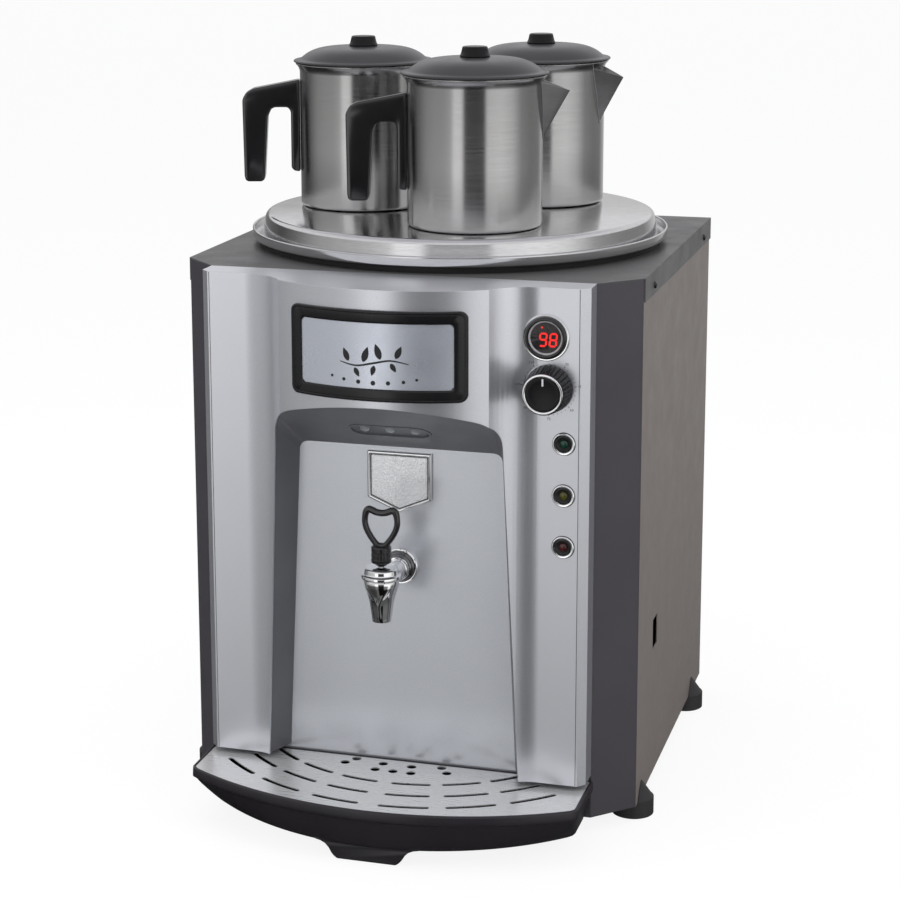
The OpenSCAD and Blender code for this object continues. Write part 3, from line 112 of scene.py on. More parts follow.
# ---------- mesh helpers ----------
def add(name, data):
    """A new object in the scene."""
    o = bpy.data.objects.new(name, data)
    bpy.context.scene.collection.objects.link(o)
    return o


def mesh_of(name, bm, material=None):
    me = bpy.data.meshes.new(name)
    bm.to_mesh(me)
    bm.free()
    if material:
        me.materials.append(material)
    return me


def evaluated(o):
    """A mesh of what an object looks like with its modifiers."""
    return bpy.data.meshes.new_from_object(o.evaluated_get(bpy.context.evaluated_depsgraph_get()))


def piece(name, bm, look, body, stands_for=(), place=None):
    """An object made of bm, with one of the looks M, which rides on its body and stands for CAD nodes."""
    o = add(name, mesh_of(name, bm, M[look]))
    o.matrix_world = at(0, 0, 0) if place is None else place
    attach(o, body)
    if stands_for:
        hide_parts(*stands_for)
    return o


def make(name, shells, look, body, stands_for=(), place=None, bevel=0.0, segs=3, limit=40,
         shade=32):
    """A piece from shells, each (points in mm, faces), with its sharp edges rounded by bevel mm."""
    bm = bmesh.new()
    for points, faces in shells:
        vs = [bm.verts.new(Vector(p) * MM) for p in points]
        for f in faces:
            if len(set(f)) > 2:
                bm.faces.new([vs[i] for i in f])
    bm.normal_update()
    bmesh.ops.recalc_face_normals(bm, faces=bm.faces[:])
    if bevel:
        sharp = [e for e in bm.edges if len(e.link_faces) == 2 and e.calc_face_angle(0) > math.radians(limit)]
        bmesh.ops.bevel(bm, geom=sharp, offset=bevel * MM, segments=segs, profile=0.5, affect="EDGES",
                        clamp_overlap=True)
    for f in bm.faces:
        f.smooth = True
    for e in bm.edges:
        e.smooth = len(e.link_faces) != 2 or e.calc_face_angle(0) < math.radians(shade)
    return piece(name, bm, look, body, stands_for, place)


def revolve(profile, n=96, wave=None):
    """Closed profile [(r, z), ...] turned about z. wave(i, a) is added to the radius of ring i at angle a."""
    points, rings = [], []
    for i, (r, z) in enumerate(profile):
        if r < 1e-6:
            rings.append([len(points)] * n)
            points.append((0, 0, z))
            continue
        rings.append(list(range(len(points), len(points) + n)))
        for k in range(n):
            a = 2 * math.pi * k / n
            q = r + (wave(i, a) if wave else 0)
            points.append((q * math.cos(a), q * math.sin(a), z))
    faces = []
    for i in range(len(profile)):
        a, b = rings[i], rings[(i + 1) % len(profile)]
        for k in range(n):
            f = [a[k], a[(k + 1) % n], b[(k + 1) % n], b[k]]
            g = [v for j, v in enumerate(f) if v != f[j - 1]]
            if len(g) > 2:
                faces.append(g)
    return points, faces


def loft(rings, first=True, last=True):
    """Shell between rings with as many points each; first and last say which ends are closed."""
    n = len(rings[0])
    points = [p for r in rings for p in r]
    faces = [(i * n + k, i * n + (k + 1) % n, (i + 1) * n + (k + 1) % n, (i + 1) * n + k)
             for i in range(len(rings) - 1) for k in range(n)]
    if first:
        faces.append(tuple(range(n - 1, -1, -1)))
    if last:
        faces.append(tuple(range((len(rings) - 1) * n, len(rings) * n)))
    return points, faces


def hoop(rings):
    """Shell through the rings and back to the first."""
    return loft(rings + rings[:1], False, False)


def slab(outer, inner):
    """Shell between two grids of points, each a list of rows, closed along all four edges."""
    rows, w = len(outer), len(outer[0])
    k = rows * w
    faces = []
    for j in range(rows):
        for i in range(w):
            a = j * w + i
            if i + 1 < w and j + 1 < rows:
                faces += [(a, a + 1, a + w + 1, a + w), (k + a, k + a + w, k + a + w + 1, k + a + 1)]
            if i + 1 < w and j in (0, rows - 1):
                faces.append((a, a + 1, k + a + 1, k + a))
            if j + 1 < rows and i in (0, w - 1):
                faces.append((a, a + w, k + a + w, k + a))
    return [p for grid in (outer, inner) for row in grid for p in row], faces


def bend(start, corner, end, n):
    """n + 1 points along a curve from start to end that is drawn towards the corner."""
    return [tuple(start * (1 - t) ** 2 + corner * 2 * t * (1 - t) + end * t * t)
            for t in (j / n for j in range(n + 1))]


def rounded(points, radius, n=5):
    """A polygon's outline with its corners rounded; radius is one number or one for each corner."""
    out = []
    k = len(points)
    for i in range(k):
        r = radius[i] if isinstance(radius, (list, tuple)) else radius
        p, a, b = Vector(points[i]), Vector(points[i - 1]), Vector(points[(i + 1) % k])
        u, v = (a - p).normalized(), (b - p).normalized()
        half = math.acos(max(-1, min(1, u.dot(v)))) / 2
        cut = min(r / max(math.tan(half), 1e-6), 0.45 * (a - p).length, 0.45 * (b - p).length)
        if r <= 0 or half > 1.5:
            out.append(tuple(p))
            continue
        out += bend(p + u * cut, p, p + v * cut, n)
    return out


def prism(outline, lo, hi, axes="xy"):
    """Shell of an outline, in the plane of axes, pushed from lo to hi along the third axis."""
    return loft([[(a, b, h) if axes == "xy" else (a, h, b) for a, b in outline] for h in (lo, hi)])


def sweep(path, size, n=16, up=(0, 1, 0), closed=True):
    """Round bar along a path; size(i) gives its half sizes in the path's plane and along up."""
    rings = []
    k = len(path)
    up = Vector(up)
    for i, p in enumerate(path):
        a, b = Vector(path[i - 1]), Vector(path[(i + 1) % k])
        if not closed:
            a, b = Vector(path[max(i - 1, 0)]), Vector(path[min(i + 1, k - 1)])
        side = (b - a).cross(up).normalized()
        w, h = size(i)
        rings.append([tuple(Vector(p) + side * w * math.cos(t) + up * h * math.sin(t))
                      for t in (2 * math.pi * j / n for j in range(n))])
    if closed:
        return hoop(rings)
    return loft(rings)


def smooth_path(points, n, closed=True):
    """Points along a smooth curve through the given ones."""
    k = len(points)
    out = []
    for i in range(k if closed else k - 1):
        a, b, c, d = (Vector(points[(i + j) % k] if closed else points[min(max(i + j, 0), k - 1)])
                      for j in (-1, 0, 1, 2))
        for s in range(n):
            t = s / n
            out.append(tuple(0.5 * (2 * b + (c - a) * t + (2 * a - 5 * b + 4 * c - d) * t * t
                                    + (3 * b - a - 3 * c + d) * t**3)))
    if not closed:
        out.append(tuple(points[-1]))
    return out


def decal(name, shapes, surface, look, lift=0.02, thick=0.1, step=3.0):
    """Thin shapes, each an outline in x and z, laid on a surface y(x); most are print, and the fascia's
    groove lines are painted shade.
    """
    bm = bmesh.new()
    for outline in shapes:
        f = bm.faces.new([bm.verts.new((x, 0, z)) for x, z in outline])
        bmesh.ops.triangulate(bm, faces=[f])
    xs = [v.co.x for v in bm.verts]
    x = min(xs) + step
    while x < max(xs):
        bmesh.ops.bisect_plane(bm, geom=bm.verts[:] + bm.edges[:] + bm.faces[:], plane_co=(x, 0, 0),
                               plane_no=(1, 0, 0), dist=1e-5)
        x += step
    for v in bm.verts:
        v.co.y = surface(v.co.x) - lift
    bm.normal_update()
    for f in bm.faces:
        if f.normal.y > 0:
            f.normal_flip()
    made = bmesh.ops.extrude_face_region(bm, geom=bm.faces[:])
    for v in {v for g in made["geom"] if isinstance(g, bmesh.types.BMFace) for v in g.verts}:
        v.co.y -= thick
    for v in bm.verts:
        v.co *= MM
    return piece(name, bm, look, "root", ())


def figure_outlines(text, size, cx, cz):
    """Outlines of a number, centred at cx and cz."""
    curve = bpy.data.curves.new("figures", "FONT")
    curve.body, curve.size, curve.align_x, curve.align_y = text, size, "CENTER", "CENTER"
    curve.resolution_u = 2
    o = add("figures", curve)
    me = evaluated(o)
    bpy.data.objects.remove(o)
    out = [[(cx + me.vertices[i].co.x, cz + me.vertices[i].co.y) for i in f.vertices] for f in me.polygons]
    bpy.data.meshes.remove(me)
    return out


# ---------- materials ----------
class Graph:
    """Short ways to add nodes to a node tree."""

    def __init__(self, tree):
        self.t = tree

    def put(self, n, k, v):
        """Sets an input, named or given as i and its number, to a value or to what another node gives."""
        sock = n.inputs[int(k[1:])] if k[1:].isdigit() else n.inputs[k.replace("_", " ")]
        if isinstance(v, bpy.types.NodeSocket):
            self.t.links.new(v, sock)
        else:
            sock.default_value = v

    def node(self, kind, op=None, **inputs):
        n = self.t.nodes.new(kind)
        if op:
            n.operation = op
        for k, v in inputs.items():
            self.put(n, k, v)
        return n

    def mix(self, factor, a, b, blend="MIX"):
        n = self.t.nodes.new("ShaderNodeMix")
        n.data_type, n.blend_type = "RGBA", blend
        for k, v in (("i0", factor), ("i6", a), ("i7", b)):
            self.put(n, k, (*v, 1) if isinstance(v, tuple) else v)
        return n.outputs[2]

    def levels(self, value, stops):
        """What value turns into: a grey or a colour at each of the stops, [(value, result), ...]."""
        n = self.node("ShaderNodeValToRGB", i0=value)
        e = n.color_ramp.elements
        while len(e) < len(stops):
            e.new(0.5)
        for el, (place, c) in zip(e, stops):
            el.position = place
            el.color = (*c, 1) if isinstance(c, tuple) else (c, c, c, 1)
        return n.outputs[0]


class Mat(Graph):
    """A material on the Principled shader, with noises in its own frame, bump and rounded edges."""

    def __init__(self, name, color, rough=0.5, metal=0.0, **more):
        self.m = bpy.data.materials.new(name)
        self.m.use_nodes = True
        super().__init__(self.m.node_tree)
        self.b = self.t.nodes["Principled BSDF"]
        for k, v in {"Base Color": (*color, 1), "Roughness": rough, "Metallic": metal, **more}.items():
            self.put(self.b, k, v)
        self.normal = None
        self.coords = self.node("ShaderNodeTexCoord").outputs["Object"]

    def noise(self, scale, detail=3.0, rough=0.55, stretch=(1, 1, 1)):
        place = self.node("ShaderNodeMapping", Vector=self.coords, Scale=stretch).outputs[0]
        return self.node("ShaderNodeTexNoise", Vector=place, Scale=scale, Detail=detail,
                         Roughness=rough).outputs[0]

    def ramp(self, value, lo, hi, at0=0.3, at1=0.7):
        """A number or colour that goes from lo to hi while value goes from at0 to at1."""
        return self.levels(value, [(at0, lo), (at1, hi)])

    def edges(self, radius):
        """Lets light run round sharp edges as if they had this radius, in mm."""
        self.normal = self.node("ShaderNodeBevel", Radius=radius * MM).outputs[0]

    def bump(self, height, strength, depth):
        n = self.node("ShaderNodeBump", Strength=strength, Distance=depth * MM, Height=height)
        if self.normal is not None:
            self.put(n, "Normal", self.normal)
        self.put(self.b, "Normal", n.outputs[0])

    def color(self, socket):
        self.put(self.b, "Base Color", socket)

    def rough(self, socket):
        self.put(self.b, "Roughness", socket)


def grained(name, base, rough, metal, color, wear, edge, bump, **more):
    """Material whose colour, roughness and bump each follow a noise of their own.

    color and wear say (noise, low, high) and perhaps where the ramp starts and ends, bump says (noise,
    strength, depth in mm), and a noise says (scale, detail, roughness, stretch), its last three optional.
    """
    m = Mat(name, base, rough, metal, **more)
    m.color(m.ramp(m.noise(*color[0]), *color[1:]))
    m.rough(m.ramp(m.noise(*wear[0]), *wear[1:]))
    if edge:
        m.edges(edge)
    m.bump(m.noise(*bump[0]), *bump[1:])
    return m.m


def painted(name, low, high, rough, grain=0.02, edge=0.8, coat=0.0, shine=0.5, spots=900.0):
    """Powder coat or moulded plastic: a little cloudy in colour, with an orange-peel surface."""
    return grained(name, high, rough, 0.0, ((9.0, 4.0, 0.6), low, high, 0.35, 0.65),
                   ((35.0, 3.0), rough - 0.05, rough + 0.06), edge, ((spots, 2.0, 0.5), 0.35, grain),
                   Coat_Weight=coat, Coat_Roughness=0.12, Specular_IOR_Level=shine)


def chrome(name, tint, rough):
    return grained(name, tint, rough, 1.0, ((300.0, 2.0), tuple(c * 0.95 for c in tint), tint),
                   ((40.0, 3.0, 0.6), rough * 0.7, rough * 1.6, 0.3, 0.75), 0.4, ((120.0, 2.0), 0.12, 0.01))


def steel(name, tint, rough, stretch, deep=0.02, spread=0.05, edge=0.5, darker=0.88, metal=1.0, around=0.0):
    """Brushed steel: scratches along the axes whose stretch is small; around makes the gloss run round z."""
    m = Mat(name, tint, rough, metal)
    if around:
        turned = m.node("ShaderNodeTangent")
        turned.direction_type, turned.axis = "RADIAL", "Z"
        for k, v in (("Anisotropic", around), ("Anisotropic Rotation", 0.25), ("Tangent", turned.outputs[0])):
            m.put(m.b, k, v)
    grain = m.noise(220.0, 4.0, 0.6, stretch)
    m.color(m.ramp(grain, tuple(c * darker for c in tint), tint))
    m.rough(m.ramp(m.noise(60.0, 3.0, 0.5, stretch), rough - spread, rough + spread))
    m.edges(edge)
    m.bump(grain, 0.5, deep)
    return m.m


def lens(name, color, rough, coat, glow=None):
    m = Mat(name, color, rough, IOR=1.5, Coat_Weight=coat, Coat_Roughness=0.03)
    m.color(m.ramp(m.noise(160.0, 2.0), tuple(c * 0.7 for c in color), color))
    if glow:
        m.put(m.b, "Emission Color", (*glow, 1))
        m.put(m.b, "Emission Strength", 1.0)
    m.bump(m.noise(90.0, 2.0), 0.1, 0.02)
    return m.m


def silver(name, base, rough, metal, *grains):
    """Silver paint with a fine fleck."""
    return grained(name, base, rough, metal, *grains, Coat_Weight=0.3, Coat_Roughness=0.2)


def stippled(name):
    """Cast metal with a fine pebbled field."""
    m = Mat(name, (0.95, 0.95, 0.96), 0.25, 0.3)
    pebbles = m.node("ShaderNodeTexVoronoi", Vector=m.coords, Scale=620.0).outputs["Distance"]
    m.color(m.ramp(pebbles, (0.97, 0.97, 0.98), (0.84, 0.85, 0.86), 0.15, 0.6))
    m.rough(m.ramp(m.noise(300.0), 0.14, 0.32))
    m.bump(m.ramp(pebbles, 1.0, 0.0, 0.15, 0.6), 0.6, 0.16)
    return m.m


def wool(name):
    m = Mat(name, (0.72, 0.66, 0.42), 0.95, Sheen_Weight=0.4, Sheen_Roughness=0.5)
    fibre = m.noise(160.0, 6.0, 0.7, (1, 1, 4))
    m.color(m.ramp(fibre, (0.5, 0.44, 0.25), (0.78, 0.72, 0.48)))
    m.bump(fibre, 1.0, 1.5)
    return m.m


# Each look has the material's name, its colours, its roughness and what its kind takes besides
PAINTED = {
    "side": ("taupe_powder_coat", (0.199, 0.172, 0.157), (0.205, 0.177, 0.161), 0.44, 0.03, 0.9),
    "front": ("dark_powder_coat", (0.052, 0.047, 0.055), (0.058, 0.053, 0.061), 0.38, 0.03, 0.9),
    "cover": ("cover_powder_coat", (0.084, 0.082, 0.084), (0.092, 0.09, 0.091), 0.36, 0.03, 0.9, 0.0, 0.2),
    "rear": ("rear_powder_coat", (0.16, 0.15, 0.145), (0.2, 0.19, 0.182), 0.45, 0.03, 0.9),
    # Painted reflection: the lids are steel that shows a dark surrounding, given a dark non-metal colour
    # instead
    "lid": ("lid_lacquer", (0.03, 0.03, 0.032), (0.038, 0.038, 0.041), 0.34, 0.012, 0.5, 0.1, 0.5, 1500.0),
    "liner": ("liner_plastic", (0.105, 0.106, 0.113), (0.125, 0.126, 0.134), 0.34),
    "led": ("lamp_holder_plastic", (0.1, 0.101, 0.108), (0.12, 0.121, 0.129), 0.35, 0.02, 0.6),
    "tray": ("tray_plastic", (0.018, 0.015, 0.0185), (0.022, 0.0185, 0.023), 0.36, 0.02, 0.8, 0.05, 0.45),
    "foot": ("foot_rubber", (0.02, 0.019, 0.02), (0.032, 0.03, 0.032), 0.62, 0.04, 0.6),
    "black": ("gloss_black_plastic", (0.011, 0.011, 0.012), (0.015, 0.015, 0.016), 0.16, 0.004, 0.7, 0.6),
    "matte": ("matte_black_plastic", (0.016, 0.016, 0.017), (0.024, 0.024, 0.025), 0.45, 0.02, 0.4),
    "ink_black": ("black_enamel", (0.006, 0.006, 0.007), (0.01, 0.01, 0.011), 0.12, 0.004, 0.3, 0.5),
    "knob": ("knob_plastic", (0.005, 0.005, 0.006), (0.008, 0.008, 0.009), 0.28, 0.004, 0.4, 0.05, 0.2),
    "rubber": ("seal_rubber", (0.008, 0.008, 0.008), (0.014, 0.014, 0.014), 0.6, 0.03, 0.5),
    "sign_black": ("sign_frame_plastic", (0.007, 0.007, 0.008),
                   (0.011, 0.011, 0.012), 0.26, 0.012, 0.6, 0.12, 0.35),
    "red_rubber": ("red_gasket_rubber", (0.35, 0.06, 0.035), (0.45, 0.085, 0.05), 0.6, 0.03, 0.3),
    "silicone": ("white_silicone", (0.6, 0.58, 0.53), (0.7, 0.68, 0.63), 0.5, 0.02, 0.3),
    "porcelain": ("terminal_ceramic", (0.68, 0.65, 0.56), (0.78, 0.75, 0.66), 0.35, 0.02, 0.4),
    "case": ("thermostat_case", (0.42, 0.4, 0.35), (0.52, 0.5, 0.44), 0.45, 0.02, 0.4),
    "brown": ("brown_moulding", (0.05, 0.03, 0.018), (0.075, 0.045, 0.028), 0.4, 0.02, 0.4),
    "print": ("printed_ink", (0.014, 0.014, 0.016), (0.022, 0.022, 0.024), 0.5, 0.004, 0.1),
    # Print on the knob's scale, and painted shade for the fascia's grooves
    "scale_ink": ("scale_ink", (0.1, 0.1, 0.11), (0.14, 0.14, 0.15), 0.5, 0.004, 0.1),
    "white_ink": ("white_ink", (0.7, 0.7, 0.7), (0.78, 0.78, 0.78), 0.5, 0.004, 0.1),
}
STEEL = {
    "pot": ("pot_steel", (0.56, 0.555, 0.55), 0.24, (0.3, 0.3, 8.0), 0.003, 0.03, 0.5, 0.93, 1.0, 0.8),
    "spout": ("spout_steel", (0.5, 0.5, 0.5), 0.34, (0.6, 0.6, 5.0), 0.004, 0.04),
    "plate": ("plate_steel", (0.73, 0.73, 0.735), 0.14, (0.5, 0.5, 6.0), 0.002, 0.03, 0.6),
    "back": ("bay_steel", (0.7, 0.72, 0.76), 0.26, (3.0, 3.0, 3.0), 0.0008, 0.01, 0.3, 0.92, 0.6),
    "grate": ("grate_steel", (0.8, 0.8, 0.8), 0.3, (0.5, 8.0, 1.0), 0.003, 0.04, 0.35, 0.92, 0.55),
    "tank": ("tank_steel", (0.6, 0.6, 0.61), 0.3, (1.0, 1.0, 20.0), 0.01, 0.05, 0.4),
    "zinc": ("zinc_steel", (0.55, 0.56, 0.57), 0.35, (4.0, 4.0, 4.0), 0.01, 0.06, 0.3),
}
CHROME = {
    "chrome": ("chrome", (0.96, 0.965, 0.97), 0.04),
    # Painted reflection: chrome made dark for the dark surrounding that the tap flange's hub shows
    "dark_chrome": ("dark_chrome", (0.24, 0.24, 0.25), 0.1),
    "brass": ("brass", (0.7, 0.48, 0.2), 0.25),
    "copper": ("element_alloy", (0.5, 0.34, 0.2), 0.35),
}
LENS = {
    "gauge_lens": ("gauge_lens", (0.018, 0.006, 0.007), 0.12, 0.3),
    "gauge_ring": ("gauge_inner_ring", (0.5, 0.5, 0.52), 0.3, 0.8),
    "green": ("green_lens", (0.008, 0.05, 0.03), 0.15, 0.4),
    "yellow": ("yellow_lens", (0.08, 0.075, 0.01), 0.15, 0.4),
    "red": ("red_lens", (0.07, 0.01, 0.01), 0.15, 0.4),
    "led_lens": ("lamp_dome", (0.29, 0.3, 0.315), 0.12, 0.5),
    "digit": ("digit_red", (0.5, 0.01, 0.01), 0.5, 0.0, (0.92, 0.02, 0.012)),
}
SILVER = {
    "fascia": ("silver_moulding", (0.8, 0.82, 0.87), 0.28, 0.85, ((2200.0, 2.0, 0.6), (0.74, 0.75, 0.8),
               (0.85, 0.86, 0.9), 0.35, 0.65),
               ((6.0, 3.0), 0.28, 0.33, 0.0, 1.0), 0.7, ((700.0, 2.0), 0.25, 0.02)),
    "sign": ("sign_silver", (0.74, 0.77, 0.84), 0.3, 0.7, ((1800.0, 2.0), (0.64, 0.67, 0.75),
             (0.78, 0.81, 0.89)), ((30.0,), 0.26, 0.36), 0, ((900.0,), 0.3, 0.01)),
}
KINDS = ((painted, PAINTED), (steel, STEEL), (chrome, CHROME), (lens, LENS), (silver, SILVER))
M = {key: kind(*spec) for kind, table in KINDS for key, spec in table.items()}
M["stipple"], M["wool"] = stippled("badge_field"), wool("mineral_wool")


# ---------- CAD nodes that stay, with their finish ----------
def soft_nodes():
    """One node group that smooths a CAD node's curved faces and keeps its edges sharp."""
    g = bpy.data.node_groups.new("smooth_curves", "GeometryNodeTree")
    for way in ("INPUT", "OUTPUT"):
        g.interface.new_socket("Geometry", in_out=way, socket_type="NodeSocketGeometry")
    n = Graph(g)
    start = n.node("NodeGroupInput").outputs[0]
    whole = n.node("GeometryNodeMergeByDistance", Geometry=start, Distance=0.002 * MM)
    angle = n.node("GeometryNodeInputMeshEdgeAngle").outputs["Unsigned Angle"]
    small = n.node("FunctionNodeCompare", "LESS_THAN", A=angle, B=math.radians(20))
    faces = n.node("GeometryNodeSetShadeSmooth", Geometry=whole.outputs[0])
    edges = n.node("GeometryNodeSetShadeSmooth", Geometry=faces.outputs[0], Shade_Smooth=small.outputs[0])
    edges.domain = "EDGE"
    n.node("NodeGroupOutput", i0=edges.outputs[0])
    return g


SOFT = soft_nodes()
FINISH = {
    "side": ["side_panel_left", "side_panel_right"], "rear": ["rear_panel"], "front": ["front_panel"],
    "cover": ["top_cover"],
    "zinc": ["base_pan", "foot_screws", "thermostat_spindle", "tap_stem", "tap_spring"],
    "back": ["bay_back_plate"], "foot": ["feet"], "fascia": ["fascia"], "liner": ["bay_liner"],
    "led": ["led_housing"], "led_lens": ["led_lamps"], "matte": ["gauge_module", "cable_gland"],
    "case": ["thermostat"], "red_rubber": ["tap_gasket"], "chrome": ["tap_pin"],
    "silicone": ["tap_seat_cup"], "brass": ["tap_nut"], "grate": ["tray_grate"], "tank": ["tank"],
    "wool": ["tank_insulation"], "rubber": ["tank_seal"], "copper": ["heating_element"],
    "brown": ["limit_thermostat"], "porcelain": ["terminal_block"],
}
for look, name in ((look, name) for look, names in FINISH.items() for name in names):
    o = NODE[name]
    normals = o.data.attributes.get("custom_normal")
    if normals:
        o.data.attributes.remove(normals)
    o.data.materials.clear()
    o.data.materials.append(M[look])
    o.modifiers.new("smooth_curves", "NODES").node_group = SOFT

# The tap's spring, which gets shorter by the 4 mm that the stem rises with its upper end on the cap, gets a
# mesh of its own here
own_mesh(NODE["tap_spring"])


# ---------- warming plate ----------
DISC_R, RING_R, PLATE_TOP, PLATE_UNDER = 193, 175.8, 552, 550.4
# Half a section: the disc's top and edge, the gutter, the rolled lip, and back under to the ring in the tank
plate_profile = (
    [(0, PLATE_TOP), (DISC_R - 5, PLATE_TOP)] + circle(DISC_R - 5, PLATE_TOP - 5, 5, (75, 60, 45, 30, 15, 2))
    + [(DISC_R + 1.1, 541), (DISC_R + 2.1, 535)] + circle(198.2, 532.1, 2.6, (190, 215, 240, 270))
    + [(203, 529.5), (204, 530.1), (204.3, 531.4), (204.35, 535.4)]
    + circle(204.9, 536.9, 1.1, (235, 200, 165, 130, 95, 60, 25, 0))
    + [(206, 536.2), (205.7, 534), (205.7, 530.8), (205.2, 529.2), (203.8, 528), (DISC_R + 1.8, 528),
       (DISC_R - 0.6, 546.5), (DISC_R - 1.6, 549), (DISC_R - 3.5, PLATE_UNDER), (RING_R, PLATE_UNDER),
       (RING_R, 508), (RING_R - 1.5, 508), (RING_R - 1.5, PLATE_UNDER), (0, PLATE_UNDER)])
make("warming_plate", [revolve(plate_profile, 192)], "plate", "plate", ["top_plate"],
     at(0, TANK_Y, 0), shade=24)


# ---------- teapots ----------
POT_RING = 104
SPOUT_TOP, SPOUT_LOW, SPOUT_HALF, SPOUT_TIP, SPOUT_DROP = POT_H - 6, POT_H - 61, 15, POT_R + 27, 10
LID_R, LID_LIP, DOME, LID_GAP = 70, 2.5, 13, 0.3
LID_Z = POT_Z + POT_H + LID_GAP
POT_PROFILE = (
    [(0, 0), (59.5, 0), (61.5, 0.25), (62.9, 1.1), (63.6, 2.2), (POT_R, 3.6), (POT_R, 60),
     (POT_R, POT_H - 9.5), (64.25, POT_H - 7.6), (64.9, POT_H - 5.6), (65.9, POT_H - 3.8),
     (66.7, POT_H - 2.7)]
    + circle(66.9, POT_H - 1.15, 1.1, (-60, -25, 10, 45, 90, 130, 165))
    + [(65.5, POT_H - 2.4), (64.5, POT_H - 4.6), (63.5, POT_H - 6.8), (63, POT_H - 9.5), (63, 4), (62, 1.8),
       (60, 1.05), (0, 1.05)])
dome = [(x, LID_LIP + DOME * (1 - (x / 64) ** 5)) for x in
        (8, 16, 24, 31, 37, 42, 46, 50, 53, 55.5, 57.5, 59.2, 60.7, 61.9, 62.9)]
LID_PROFILE = (
    [(0, LID_LIP + DOME)] + dome
    + [(63.9, LID_LIP + 0.5), (65.4, LID_LIP + 0.05), (67.6, LID_LIP), (69.1, LID_LIP - 0.25),
       (69.85, LID_LIP - 0.9), (LID_R, LID_LIP - 1.6), (69.7, 0.35), (69, 0), (62.2, 0), (62.2, -9),
       (61.2, -9), (61.2, 1.4)]
    + [(x, z - 1) for x, z in reversed(dome) if x < 60] + [(0, LID_LIP + DOME - 1)])
KNOB_PROFILE = [(0, 0), (13.6, 0), (14.15, 0.35), (14.3, 1.0), (14.0, 1.9), (13.5, 2.8), (12.9, 4.6),
                (12.4, 6.8), (12.1, 8.2), (11.85, 9.1), (11.35, 9.75), (10.5, 10), (6, 9.95), (0, 9.9)]


def spout_sheet():
    """Sheet folded to a beak: open at its top, its two sides meeting in a rounded fold."""
    across, down, thick = 12, 14, 1.0
    outer, inner = [], []
    for j in range(down + 1):
        v = j / down
        z_root = SPOUT_TOP + (SPOUT_LOW - SPOUT_TOP) * v
        z_tip = SPOUT_TOP - SPOUT_DROP + (SPOUT_LOW - SPOUT_TOP + SPOUT_DROP) * v
        half = SPOUT_HALF * (1 - v) + 0.6
        reach = (SPOUT_TIP - POT_R + 0.6) * (1 - v) ** 1.02
        outer.append([])
        inner.append([])
        for i in range(across + 1):
            u = -1 + 2 * i / across
            fold = 1 - math.sqrt(u * u + 0.006) / math.sqrt(1.006)
            y = half * u * (0.88 + 0.12 * abs(u))
            x = math.sqrt((POT_R - 0.4) ** 2 - y * y) + reach * fold
            z = z_root + (z_tip - z_root) * fold
            n = Vector((half, reach * (1 if u > 0 else -1) * 0.9, 0))
            n = n.normalized() if abs(u) > 0.01 else Vector((1, 0, 0))
            outer[j].append((x, y, z))
            inner[j].append((x - thick * n.x, y - thick * n.y, z))
    return slab(outer, inner)


def seam_lines():
    """Raised weld lines where the beak's sides meet the body."""
    shells = []
    for s in (-1, 1):
        path = []
        for j in range(13):
            v = j / 12
            y = s * (SPOUT_HALF * (1 - v) + 0.6)
            path.append((math.sqrt((POT_R + 0.25) ** 2 - y * y), y,
                         SPOUT_TOP + 0.5 + (SPOUT_LOW - SPOUT_TOP - 1) * v))
        shells.append(sweep(path, lambda i: (0.55, 0.45), 8, (1, 0, 0), False))
    return shells


def handle_outline():
    """Outline of the handle in x and z: corners with a radius each, from the body's top round to its foot."""
    r0, r1, top = POT_R + 0.3, POT_R + 58, POT_H - 17
    out = top - 13
    p = [(r0, top), (r1 - 11, out + 4), (r1 - 4, out), (r1, out - 7), (r1 - 1, out - 84),
         (r1 - 2, out - 88.5), (r1 - 5, out - 90), (r1 - 18, out - 90), (r1 - 21, out - 88.5),
         (r1 - 22, out - 84), (r0 + 32, out - 24), (r0 + 29, out - 17), (r0 + 25, out - 15),
         (r0 + 12, out - 15), (r0 + 9, out - 19), (r0 + 9, top - 89), (r0 + 6, top - 92), (r0, top - 93)]
    r = [0, 10, 8, 10, 6, 3, 3, 3, 3, 5, 8, 8, 8, 6, 8, 4, 3, 0]
    return [(-x, z) for x, z in rounded(p, r, 4)]


def cut_strainer(body, place):
    """Cuts the strainer's holes through the wall behind the beak."""
    holes = bmesh.new()
    for z in (SPOUT_TOP - 8, SPOUT_TOP - 18, SPOUT_TOP - 28):
        for s in (-1, 1):
            m = Matrix.Translation(Vector((61, s * (z - SPOUT_LOW) / 9, z)) * MM)
            bmesh.ops.create_cone(holes, cap_ends=True, segments=16, radius1=2.2 * MM, radius2=2.2 * MM,
                                  depth=10 * MM, matrix=m @ Matrix.Rotation(math.pi / 2, 4, "Y"))
    cutter = add("strainer_cut", mesh_of("strainer_cut", holes))
    cutter.matrix_world = place
    cut = body.modifiers.new("strainer", "BOOLEAN")
    cut.operation, cut.object, cut.solver = "DIFFERENCE", cutter, "EXACT"
    bpy.context.view_layer.update()
    done = evaluated(body)
    body.modifiers.clear()
    body.data = done
    bpy.data.objects.remove(cutter)


